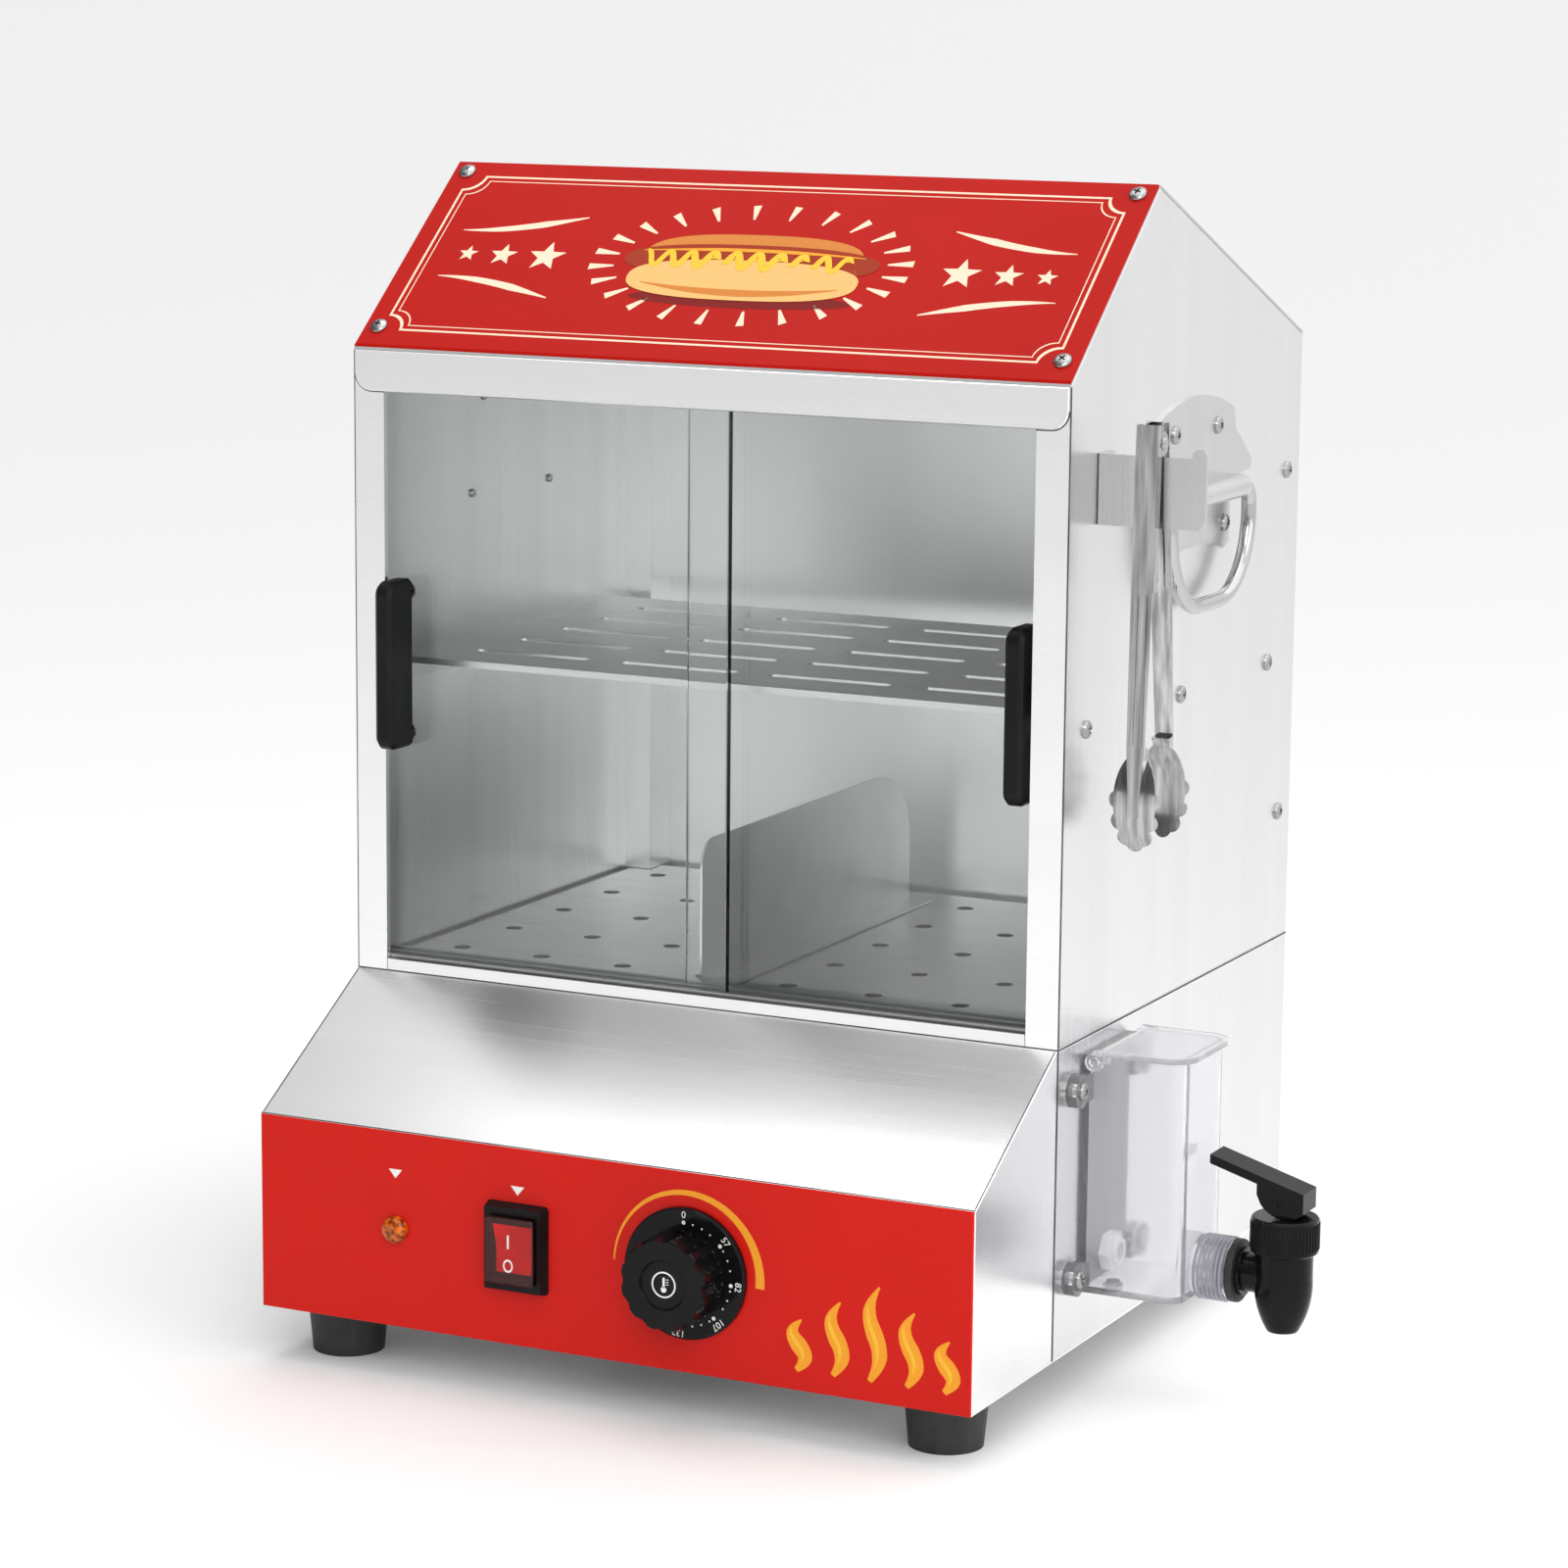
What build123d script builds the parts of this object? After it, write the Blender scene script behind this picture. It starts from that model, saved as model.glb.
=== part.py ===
"""Counter-top hot dog steamer: glazed cabinet with a peaked roof, sloped control box and side water box.

Millimetres.  +Z is up and the front faces -Y.  The origin is on the table, midway between the four feet.
Each piece is a separate solid, written to its own STEP file.
"""

import math
import os

from build123d import *

os.makedirs("parts", exist_ok=True)

# %% Driving dimensions: housing
housing_width = 345.0
sheet = 1.0  # stainless sheet of every folded panel
edge_break = 0.4  # chamfer round the outer face of each panel
foot_height = 24.0
foot_radius_bottom = 16.0
foot_radius_top = 18.3
foot_spacing_x = 294.0
foot_spacing_y = 296.0
foot_recess_radius = 8.0
foot_recess_depth = 12.0
base_height = 138.0  # from the underside to the seam under the cabinet
fascia_height = 87.6
control_depth = 84.0  # how far the control box stands in front of the cabinet
eave_height = 280.4  # front eave of the side panels above the seam
ridge_rise = 77.9
ridge_setback = 94.0
back_eave_drop = 74.7  # ridge to back eave
roof_thickness = 1.3  # measured plumb
sign_thickness = 1.2
sign_screw_inset = 7.5  # from the ends of the sign
sign_screw_lengths = (11.4, 113.7)  # up the slope from the sign's front edge

# %% Driving dimensions: window, tracks and doors
stile_width = 15.0
stile_return = 3.0
sill_height = 5.0
header_height = 18.0
header_corner_radius = 8.0
track_depth = 20.0
lower_track_height = 6.5
upper_track_height = 16.0
groove_floor = 2.0
groove_roof = 3.0
groove_play = 0.6
glass_thickness = 4.0
glass_pitch = 9.0  # front pane to rear pane
pane_width = 176.0
pane_lap = 24.0  # overlap of the two closed panes
pane_lift = 6.0  # free height in the upper groove, for lifting a pane out
grip_width = 8.5
grip_depth = 19.0
grip_height = 76.0
grip_centre_height = 140.5  # above the seam
grip_inset = 13.0  # pane edge to the middle of its grip
grip_screw_spacing = 64.0

# %% Driving dimensions: inside the cabinet
pan_side_room = 12.5  # outer face of each side of the housing to the pan's wall
pan_length = 227.0
pan_depth = 110.0
pan_setback = 13.0  # door tracks to the pan
pan_rear_room = 15.0  # pan to the outside of the back wall, with room for the cable gland's nut
pan_rim = 8.0
rack_hole_radius = 4.0
rack_columns = 8
rack_rows = 5
shelf_height = 140.5  # top of the bun shelf above the seam
shelf_flange = 14.0
shelf_lip = 3.0
shelf_shortfall = 6.0  # how much shorter the shelf is than the pan
shelf_tab = 8.0  # side flanges reach this far in front of the plate
shelf_slot_length = 60.0
shelf_slot_width = 7.0
divider_height = 66.0
divider_shortfall = 9.0  # how much shorter the divider is than the pan
divider_foot = 12.0
divider_offset = -11.0
divider_front_radius = 12.0
divider_rear_radius = 36.0
channel_width = 14.0
channel_depth = 20.0
channel_screw_heights = (58.5, 219.5)  # above the channel's lower end
channel_screw_setback = 4.5  # behind the channel's front

# %% Driving dimensions: controls
control_height = 44.0  # middle of lamp, switch and dial above the underside
lamp_x = -103.0
lamp_radius = 6.2
lamp_body_radius = 5.0
switch_x = -42.0
bezel_width = 30.5
bezel_height = 39.5
bezel_depth = 5.0
switch_body_width = 26.0
switch_body_height = 31.0
switch_body_depth = 26.0
boot_width = 24.0
boot_height = 30.0
boot_depth = 3.5
boot_wall = 0.9
rocker_width = 18.0
rocker_half_height = 11.0
rocker_pocket_depth = 9.5
rocker_tilt = 14.0
rocker_pin_radius = 1.5
dial_x = 40.0
dial_radius = 28.7
dial_thickness = 3.0
knob_radius = 20.3
knob_height = 19.0
knob_skirt = 4.0
knob_flutes = 12
knob_dish_radius = 11.0
shaft_radius = 3.0
thermostat_size = 34.0
thermostat_depth = 28.0
vent_slot_length = 60.0
vent_slot_width = 4.0
vent_slots = 6

# %% Driving dimensions: heater, sensor and cable entry
element_radius = 4.0
element_half_width = 60.0
element_height = 38.0  # axis above the underside
element_reach = 80.0
sensor_x = 100.0
sensor_height = 46.0
bulb_radius = 4.0
bulb_length = 88.0
capillary_radius = 1.5
capillary_bend = 12.0
nut_radius = 9.0
nut_height = 5.0
gland_x = 110.0
gland_height = 36.0
gland_bore_radius = 4.2
gland_thread_radius = 8.0
gland_flange_radius = 11.0
gland_length = 22.0

# %% Driving dimensions: carry handles
handle_y = 44.0
handle_plate_thickness = 1.5
wing_reach = 69.5  # middle of the plate to the tip of a wing
waist = 43.0  # half width of the plate below its wings
ring_axis_height = 223.0  # hinge axis above the seam
handle_top_rise = 42.6  # top of the plate above the hinge axis
ring_standoff = 9.0  # hinge axis to the side panel
ring_rod_radius = 3.5
ring_half_width = 47.3
ring_drop = 48.5
ring_top_bend = 9.0
ring_bottom_bend = 36.0
strap_half_length = 38.0
strap_wall = 1.5
handle_screw_half_spacing = 25.7
handle_screw_inset = 15.0  # upper screws below the top of the plate
handle_low_screw_half_spacing = 36.6
handle_low_screw_drop = 17.0  # lower screws below the hinge axis

# %% Driving dimensions: tongs and their bracket
bracket_y = -65.0
bracket_reach = 49.0
bracket_top_height = 250.4  # top edge above the seam
bracket_drop = 30.0
bracket_thickness = 1.5
bracket_finger = 6.5
bracket_flange = 16.0
tongs_standout = 24.5  # middle of the tongs from the side panel
tongs_length = 172.0  # pivot to tip
tongs_top = 7.8
arm_width = 10.0
arm_sheet = 1.0
arm_gap = 5.6  # pivot to the inside of an arm's web
flange_length = 62.0  # folded edges of an arm below its pivot
front_arm_tilt = 2.5
rear_arm_tilt = 6.5
scoop_width = 23.0
scoop_length = 44.0
scoop_radius = 60.0
scoop_lobes = 7
lobe_radius = 3.7
rivet_radius = 1.5
roller_radius = 5.3

# %% Driving dimensions: water box and tap
box_y = -42.3
box_length = 50.5
box_reach = 46.5
box_height = 105.4
box_rise = 25.0  # underside of the box above the underside of the housing
box_wall = 2.5
box_corner_radius = 7.0
ear_radius = 7.5
ear_spacing_y = 74.0
ear_low_height = 9.0
ear_high_height = 92.0
ear_depth = 5.0
lid_thickness = 2.5
lid_overhang = 3.0
lid_corner_radius = 12.0
lid_hinge_standout = 6.0
lid_pin_radius = 2.0
lid_knuckle_radius = 4.0
inlet_height = 38.0
inlet_radius = 6.0
inlet_bore_radius = 4.0
inlet_nut_radius = 9.0
spigot_radius = 13.8
spigot_bore_radius = 9.3
spigot_length = 15.5
spigot_height = 36.8  # axis above the underside of the housing
gasket_thickness = 3.5
tap_standout = 19.0  # barrel axis from the tap's seat on its gasket
barrel_radius = 12.5
barrel_tip_radius = 6.8
barrel_drop = 23.8  # spigot axis to the spout's lip
neck_radius = 8.5
spout_bore_radius = 4.5
spout_bore_length = 12.0
chamber_radius = 8.0
collar_radius = 14.6
collar_height = 16.0
stem_radius = 2.2
lever_pin_radius = 1.5
lever_pin_height = 34.2  # above the spigot axis
lever_width = 16.0
lever_length = 32.0
lever_slope = 16.6
lever_thickness = 4.0

# %% Clearances
face_gap = 0.3
running_play = 0.05
hole_play = 0.1
seat_play = 0.4  # a pane or piece that slides in a slot

# %% Fasteners
panel_screw_radius = 2.0
panel_screw_head_radius = 4.0
panel_screw_head_height = 2.2
grip_screw_head_height = 2.6
foot_screw_radius = 2.5
foot_screw_head_radius = 5.0
foot_screw_head_height = 3.5

# %% Sizes and places worked out from the driving dimensions
housing_depth = control_depth + sheet + track_depth + pan_setback + pan_length + pan_rear_room
shelf_length = pan_length - shelf_shortfall
divider_length = pan_length - divider_shortfall
handle_top_height = ring_axis_height + handle_top_rise
handle_screw_height = handle_top_height - handle_screw_inset
handle_low_screw_height = ring_axis_height - handle_low_screw_drop
half_width = housing_width / 2
pan_width = housing_width - 2 * pan_side_room
front_y = -housing_depth / 2
back_y = housing_depth / 2
base_z = foot_height
wall_z = base_z + sheet
seam_z = base_z + base_height
cabinet_y = front_y + control_depth
tank_front_y = cabinet_y + sheet
tank_length = back_y - tank_front_y
tank_middle_y = (back_y + tank_front_y) / 2
pan_front_y = tank_front_y + track_depth + pan_setback
inner_half = half_width - sheet
eave_z = seam_z + eave_height
ridge_z = eave_z + ridge_rise
ridge_y = cabinet_y + ridge_setback
back_eave_z = ridge_z - back_eave_drop
control_z = base_z + control_height
window_half = half_width - stile_width
header_z = eave_z - header_height
roof_slope = math.degrees(math.atan2(ridge_rise, ridge_setback))
foot_places = [
    (x, y)
    for x in (-foot_spacing_x / 2, foot_spacing_x / 2)
    for y in (-foot_spacing_y / 2, foot_spacing_y / 2)
]


def level(height):
    """Horizontal sketch plane: x to the right, y to the back."""
    return Plane.XY.offset(height)


def facing_front(y):
    """Upright sketch plane seen from the front: x to the right, y up, normal towards the viewer."""
    return Plane.XZ.offset(-y)


def facing_right(x):
    """Upright sketch plane seen from the right: x to the back, y up, normal towards +X."""
    return Plane.YZ.offset(x)


# %% Base: bottom plate, feet and their screws
with BuildPart() as bottom_plate:
    with BuildSketch(level(base_z)):
        with Locations((0, (front_y + back_y + sheet) / 2)):
            Rectangle(housing_width - sheet, housing_depth - sheet)
        with Locations(*foot_places):
            Circle(foot_screw_radius + hole_play, mode=Mode.SUBTRACT)
        with Locations((0, (front_y + cabinet_y) / 2), (0, tank_middle_y)):
            with GridLocations(0, vent_slot_width * 2.5, 1, vent_slots):
                SlotOverall(vent_slot_length, vent_slot_width, mode=Mode.SUBTRACT)
    extrude(amount=sheet)
bottom_plate.part.label = "bottom_plate"
export_step(bottom_plate.part, "parts/bottom_plate.step")

with BuildPart() as one_foot:
    with BuildSketch(Plane.XZ):
        Polygon(
            (foot_screw_radius + hole_play, foot_recess_depth),
            (foot_recess_radius, foot_recess_depth),
            (foot_recess_radius, 0),
            (foot_radius_bottom, 0),
            (foot_radius_top, foot_height),
            (foot_screw_radius + hole_play, foot_height),
            align=None,
        )
    revolve(axis=Axis.Z)

with BuildPart() as rubber_feet:
    with Locations(*foot_places):
        add(one_foot.part)
rubber_feet.part.label = "rubber_feet"
export_step(rubber_feet.part, "parts/rubber_feet.step")

with BuildPart() as foot_screws:
    with BuildSketch(level(foot_recess_depth)):
        with Locations(*foot_places):
            Circle(foot_screw_head_radius)
    extrude(amount=-foot_screw_head_height)
    with BuildSketch(level(foot_recess_depth)):
        with Locations(*foot_places):
            Circle(foot_screw_radius)
    extrude(amount=foot_height - foot_recess_depth + 3 * sheet)
foot_screws.part.label = "foot_screws"
export_step(foot_screws.part, "parts/foot_screws.step")

# %% Base: side walls and end walls round the water pan, and the deck that carries the cabinet
inlet_y = box_y
inlet_z = base_z + inlet_height
element_z = base_z + element_height
sensor_z = base_z + sensor_height
gland_z = base_z + gland_height
element_places = [(-element_half_width, element_z), (element_half_width, element_z)]
deck_z = seam_z - sheet
ear_heights = [base_z + box_rise + height for height in (ear_low_height, ear_high_height)]
ear_places = [
    (box_y + side * ear_spacing_y / 2, z) for side in (-1, 1) for z in ear_heights
]
pan_middle_y = pan_front_y + pan_length / 2

with BuildPart() as base_side_walls:
    with BuildSketch(level(wall_z)):
        with Locations(
            *[(side * (inner_half + sheet / 2), tank_middle_y) for side in (-1, 1)]
        ):
            Rectangle(sheet, tank_length)
    extrude(amount=deck_z - wall_z)
    wall_faces = base_side_walls.faces().sort_by(Axis.X)
    chamfer([*wall_faces[0].edges(), *wall_faces[-1].edges()], edge_break)
    with BuildSketch(facing_right(half_width)):
        with Locations((inlet_y, inlet_z)):
            Circle(inlet_radius + hole_play)
        with Locations(*ear_places):
            Circle(panel_screw_radius + hole_play)
    extrude(amount=-sheet, mode=Mode.SUBTRACT)
base_side_walls.part.label = "base_side_walls"
export_step(base_side_walls.part, "parts/base_side_walls.step")

with BuildPart() as base_end_walls:
    with BuildSketch(level(wall_z)):
        with Locations((0, tank_front_y + sheet / 2), (0, back_y - sheet / 2)):
            Rectangle(2 * inner_half, sheet)
    extrude(amount=deck_z - wall_z)
    with BuildSketch(facing_front(tank_front_y)):
        with Locations(*element_places):
            Circle(element_radius + hole_play)
        with Locations((sensor_x, sensor_z)):
            Circle(capillary_radius + hole_play)
    extrude(amount=-sheet, mode=Mode.SUBTRACT)
    with BuildSketch(facing_front(back_y)):
        with Locations((gland_x, gland_z)):
            Circle(gland_thread_radius + hole_play)
    extrude(amount=sheet, mode=Mode.SUBTRACT)
base_end_walls.part.label = "base_end_walls"
export_step(base_end_walls.part, "parts/base_end_walls.step")

with BuildPart() as base_deck:
    with BuildSketch(level(deck_z)):
        with Locations((0, (cabinet_y + back_y) / 2)):
            Rectangle(housing_width, back_y - cabinet_y)
        with Locations((0, pan_middle_y)):
            Rectangle(pan_width + 2 * seat_play, pan_length + 2 * seat_play, mode=Mode.SUBTRACT)
    extrude(amount=sheet)
    with BuildSketch(level(seam_z)):
        with Locations((0, cabinet_y + sheet / 2)):
            Rectangle(2 * (window_half - face_gap), sheet)
    extrude(amount=sill_height)
base_deck.part.label = "base_deck"
export_step(base_deck.part, "parts/base_deck.step")

with BuildPart() as joint_gasket:
    with BuildSketch(facing_front(cabinet_y)):
        with Locations((0, (wall_z + seam_z - sheet) / 2)):
            Rectangle(housing_width - sheet, seam_z - sheet - wall_z)
            Rectangle(housing_width - 14 * sheet, seam_z - 14 * sheet - wall_z, mode=Mode.SUBTRACT)
    extrude(amount=-sheet)
joint_gasket.part.label = "joint_gasket"
export_step(joint_gasket.part, "parts/joint_gasket.step")

# %% Control box: front, cheeks and sloping top folded from one sheet, open below and behind
control_front_y = front_y + sheet
fascia_top_z = base_z + fascia_height
control_middle = (dial_x, control_z)

with BuildPart() as control_box:
    with BuildSketch(Plane.YZ):
        Polygon(
            (control_front_y, wall_z),
            (control_front_y, fascia_top_z),
            (cabinet_y, seam_z),
            (cabinet_y, wall_z),
            align=None,
        )
    extrude(amount=half_width, both=True)
    offset(
        amount=-sheet,
        openings=[
            control_box.faces().sort_by(Axis.Z)[0],
            control_box.faces().sort_by(Axis.Y)[-1],
        ],
    )
    box_faces = control_box.faces().sort_by(Axis.X)
    chamfer([*box_faces[0].edges(), *box_faces[-1].edges()], edge_break)
    with BuildSketch(facing_front(control_front_y)):
        with Locations((lamp_x, control_z)):
            Circle(lamp_body_radius + hole_play)
        with Locations((switch_x, control_z)):
            Rectangle(switch_body_width + seat_play, switch_body_height + seat_play)
        with Locations(control_middle):
            Circle(2 * shaft_radius)
    extrude(amount=-sheet, mode=Mode.SUBTRACT)
control_box.part.label = "control_box"
export_step(control_box.part, "parts/control_box.step")

with BuildPart() as fascia_panel:
    with BuildSketch(facing_front(control_front_y)):
        with Locations((0, (base_z + fascia_top_z) / 2)):
            Rectangle(housing_width - sheet, fascia_height)
        with Locations((lamp_x, control_z)):
            Circle(lamp_body_radius + hole_play, mode=Mode.SUBTRACT)
        with Locations((switch_x, control_z)):
            Rectangle(
                switch_body_width + seat_play, switch_body_height + seat_play, mode=Mode.SUBTRACT)
        with Locations(control_middle):
            Circle(2 * shaft_radius, mode=Mode.SUBTRACT)
    extrude(amount=sheet)
    chamfer(fascia_panel.faces().sort_by(Axis.Y)[0].outer_wire().edges(), edge_break)
fascia_panel.part.label = "fascia_panel"
export_step(fascia_panel.part, "parts/fascia_panel.step")

# %% Lamp
with BuildPart() as indicator_lens:
    with BuildSketch(facing_front(front_y)):
        with Locations((lamp_x, control_z)):
            Circle(lamp_radius)
    extrude(amount=sheet)
    with BuildSketch(facing_front(front_y - sheet)):
        with Locations((lamp_x, control_z)):
            RegularPolygon(lamp_radius - 0.5 * sheet, 10)
    extrude(amount=3.5 * sheet, taper=35)
indicator_lens.part.label = "indicator_lens"
export_step(indicator_lens.part, "parts/indicator_lens.step")

with BuildPart() as indicator_body:
    with BuildSketch(facing_front(front_y)):
        with Locations((lamp_x, control_z)):
            Circle(lamp_body_radius)
    extrude(amount=-24)
    with BuildSketch(facing_front(control_front_y + sheet)):
        with Locations((lamp_x, control_z)):
            RegularPolygon(lamp_body_radius + 3 * sheet, 6)
    extrude(amount=-3 * sheet)
indicator_body.part.label = "indicator_body"
export_step(indicator_body.part, "parts/indicator_body.step")

# %% Rocker switch with its sealing boot
with BuildPart() as switch_housing:
    with BuildSketch(facing_front(front_y)):
        with Locations((switch_x, control_z)):
            RectangleRounded(bezel_width, bezel_height, 2 * sheet)
    extrude(amount=bezel_depth, taper=16)
    with BuildSketch(facing_front(front_y)):
        with Locations((switch_x, control_z)):
            Rectangle(switch_body_width, switch_body_height)
    extrude(amount=-switch_body_depth)
    with BuildSketch(facing_front(front_y - bezel_depth)):
        with Locations((switch_x, control_z)):
            Rectangle(rocker_width + 2 * seat_play, 2 * (rocker_half_height + 4 * seat_play))
    extrude(amount=-rocker_pocket_depth, mode=Mode.SUBTRACT)
    with BuildSketch(facing_right(switch_x)):
        with Locations((front_y, control_z)):
            Circle(rocker_pin_radius + running_play)
    extrude(amount=rocker_width / 2 + 2 * sheet, both=True, mode=Mode.SUBTRACT)
switch_housing.part.label = "switch_housing"
export_step(switch_housing.part, "parts/switch_housing.step")

with BuildPart() as switch_boot:
    with BuildSketch(facing_front(front_y - bezel_depth)):
        with Locations((switch_x, control_z)):
            RectangleRounded(boot_width, boot_height, 2 * sheet)
    extrude(amount=boot_depth)
    chamfer(switch_boot.faces().sort_by(Axis.Y)[0].edges(), 0.8 * boot_wall)
    with BuildSketch(facing_front(front_y - bezel_depth)):
        with Locations((switch_x, control_z)):
            RectangleRounded(boot_width - 2 * boot_wall, boot_height - 2 * boot_wall, sheet)
    extrude(amount=boot_depth - boot_wall, mode=Mode.SUBTRACT)
switch_boot.part.label = "switch_boot"
export_step(switch_boot.part, "parts/switch_boot.step")

rocker_face = 2.5 * sheet
rocker_rise = rocker_half_height * math.tan(math.radians(rocker_tilt))
with BuildPart() as rocker:
    with BuildSketch(facing_right(switch_x)):
        Polygon(
            (front_y - rocker_face, control_z - rocker_half_height),
            (front_y - rocker_face, control_z),
            (front_y - rocker_face - rocker_rise, control_z + rocker_half_height),
            (front_y + rocker_face, control_z + 0.6 * rocker_half_height),
            (front_y + rocker_face, control_z - 0.6 * rocker_half_height),
            align=None,
        )
    extrude(amount=rocker_width / 2, both=True)
    with BuildSketch(facing_right(switch_x)):
        with Locations((front_y, control_z)):
            Circle(rocker_pin_radius)
    extrude(amount=rocker_width / 2 + 1.8 * sheet, both=True)
rocker.part.label = "rocker"
export_step(rocker.part, "parts/rocker.step")

# %% Thermostat: dial plate, body, sensor, shaft and knob
with BuildPart() as dial_plate:
    with BuildSketch(facing_front(front_y)):
        with Locations(control_middle):
            Circle(dial_radius)
            Circle(shaft_radius + seat_play, mode=Mode.SUBTRACT)
    extrude(amount=dial_thickness)
    chamfer(dial_plate.faces().sort_by(Axis.Y)[0].edges().sort_by(SortBy.RADIUS)[-1], 0.8 * sheet)
dial_plate.part.label = "dial_plate"
export_step(dial_plate.part, "parts/dial_plate.step")

body_front_y = control_front_y + sheet
with BuildPart() as thermostat_body:
    with BuildSketch(facing_front(body_front_y)):
        with Locations(control_middle):
            Rectangle(thermostat_size, thermostat_size)
    extrude(amount=-thermostat_depth)
    with BuildSketch(facing_front(body_front_y)):
        with Locations(control_middle):
            Circle(2 * shaft_radius - hole_play)
    extrude(amount=2 * sheet)
    with BuildSketch(facing_front(front_y)):
        with Locations(control_middle):
            Circle(shaft_radius + running_play)
    extrude(amount=-thermostat_depth / 2, mode=Mode.SUBTRACT)
thermostat_body.part.label = "thermostat_body"
export_step(thermostat_body.part, "parts/thermostat_body.step")

knob_back_y = front_y - dial_thickness - face_gap
knob_front_y = knob_back_y - knob_height
flute_radius = 6.0
with BuildPart() as knob:
    with BuildSketch(facing_front(knob_back_y)):
        with Locations(control_middle):
            Circle(knob_radius)
    extrude(amount=knob_height)
    fillet(knob.faces().sort_by(Axis.Y)[0].edges(), 1.2 * sheet)
    with BuildSketch(facing_front(knob_front_y)):
        with Locations(control_middle):
            with PolarLocations(knob_radius + 0.72 * flute_radius, knob_flutes):
                Circle(flute_radius)
    extrude(amount=-(knob_height - knob_skirt), mode=Mode.SUBTRACT)
    with BuildSketch(facing_front(knob_front_y)):
        with Locations(control_middle):
            Circle(knob_dish_radius)
    extrude(amount=-1.5 * sheet, taper=30, mode=Mode.SUBTRACT)
    with BuildSketch(facing_front(knob_back_y)):
        with Locations(control_middle):
            Circle(shaft_radius)
    extrude(amount=knob_height / 2, mode=Mode.SUBTRACT)
knob.part.label = "knob"
export_step(knob.part, "parts/knob.step")

with BuildPart() as knob_shaft:
    with BuildSketch(facing_front(knob_back_y - knob_height / 2)):
        with Locations(control_middle):
            Circle(shaft_radius)
    extrude(amount=-(knob_height / 2 + dial_thickness + face_gap + thermostat_depth / 2 - face_gap))
knob_shaft.part.label = "knob_shaft"
export_step(knob_shaft.part, "parts/knob_shaft.step")

sensor_turn_y = front_y + 55.0
with BuildPart() as thermostat_sensor:
    with BuildLine():
        FilletPolyline(
            (dial_x, body_front_y + thermostat_depth, sensor_z),
            (dial_x, sensor_turn_y, sensor_z),
            (sensor_x, sensor_turn_y, sensor_z),
            (sensor_x, pan_front_y + 3 * capillary_bend, sensor_z),
            radius=capillary_bend,
        )
    with BuildSketch(facing_front(body_front_y + thermostat_depth)):
        with Locations((dial_x, sensor_z)):
            Circle(capillary_radius)
    sweep()
    with BuildSketch(facing_front(pan_front_y + 3 * capillary_bend)):
        with Locations((sensor_x, sensor_z)):
            Circle(bulb_radius)
    extrude(amount=-bulb_length)
thermostat_sensor.part.label = "thermostat_sensor"
export_step(thermostat_sensor.part, "parts/thermostat_sensor.step")

# %% Water pan, heating element and the perforated rack that carries the sausages
pan_floor_z = seam_z - pan_depth
rim_z = seam_z
with BuildPart() as water_pan:
    with BuildSketch(level(pan_floor_z)):
        with Locations((0, pan_middle_y)):
            Rectangle(pan_width, pan_length)
    extrude(amount=rim_z - pan_floor_z)
    offset(amount=-sheet, openings=water_pan.faces().sort_by(Axis.Z)[-1])
    with BuildSketch(level(rim_z)):
        with Locations((0, pan_middle_y)):
            Rectangle(pan_width + 2 * pan_rim, pan_length + 2 * pan_rim - 2 * sheet)
            Rectangle(pan_width - 2 * sheet, pan_length - 2 * sheet, mode=Mode.SUBTRACT)
    extrude(amount=sheet)
    with BuildSketch(facing_right(pan_width / 2)):
        with Locations((inlet_y, inlet_z)):
            Circle(inlet_radius + hole_play)
    extrude(amount=-sheet, mode=Mode.SUBTRACT)
    with BuildSketch(facing_front(pan_front_y)):
        with Locations(*element_places):
            Circle(element_radius + hole_play)
        with Locations((sensor_x, sensor_z)):
            Circle(capillary_radius + hole_play)
    extrude(amount=-sheet, mode=Mode.SUBTRACT)
water_pan.part.label = "water_pan"
export_step(water_pan.part, "parts/water_pan.step")

element_back_y = pan_front_y + element_reach
element_end_y = cabinet_y - 2 * nut_height
with BuildPart() as heating_element:
    with BuildLine():
        near_leg = Line(
            (-element_half_width, element_end_y, element_z),
            (-element_half_width, element_back_y, element_z),
        )
        ThreePointArc(
            near_leg @ 1,
            (0, element_back_y + element_half_width, element_z),
            (element_half_width, element_back_y, element_z),
        )
        Line(
            (element_half_width, element_back_y, element_z),
            (element_half_width, element_end_y, element_z),
        )
    with BuildSketch(facing_front(element_end_y)):
        with Locations((-element_half_width, element_z)):
            Circle(element_radius)
    sweep()
heating_element.part.label = "heating_element"
export_step(heating_element.part, "parts/heating_element.step")

with BuildPart() as bulkhead_nuts:
    with BuildSketch(facing_front(tank_front_y)):
        with Locations(*element_places):
            RegularPolygon(nut_radius, 6)
            Circle(element_radius + hole_play, mode=Mode.SUBTRACT)
        with Locations((sensor_x, sensor_z)):
            RegularPolygon(nut_radius, 6)
            Circle(capillary_radius + hole_play, mode=Mode.SUBTRACT)
    extrude(amount=nut_height)
    with BuildSketch(facing_front(back_y - sheet)):
        with Locations((gland_x, gland_z)):
            RegularPolygon(gland_flange_radius, 6)
            Circle(gland_thread_radius + hole_play, mode=Mode.SUBTRACT)
    extrude(amount=nut_height)
bulkhead_nuts.part.label = "bulkhead_nuts"
export_step(bulkhead_nuts.part, "parts/bulkhead_nuts.step")

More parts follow.
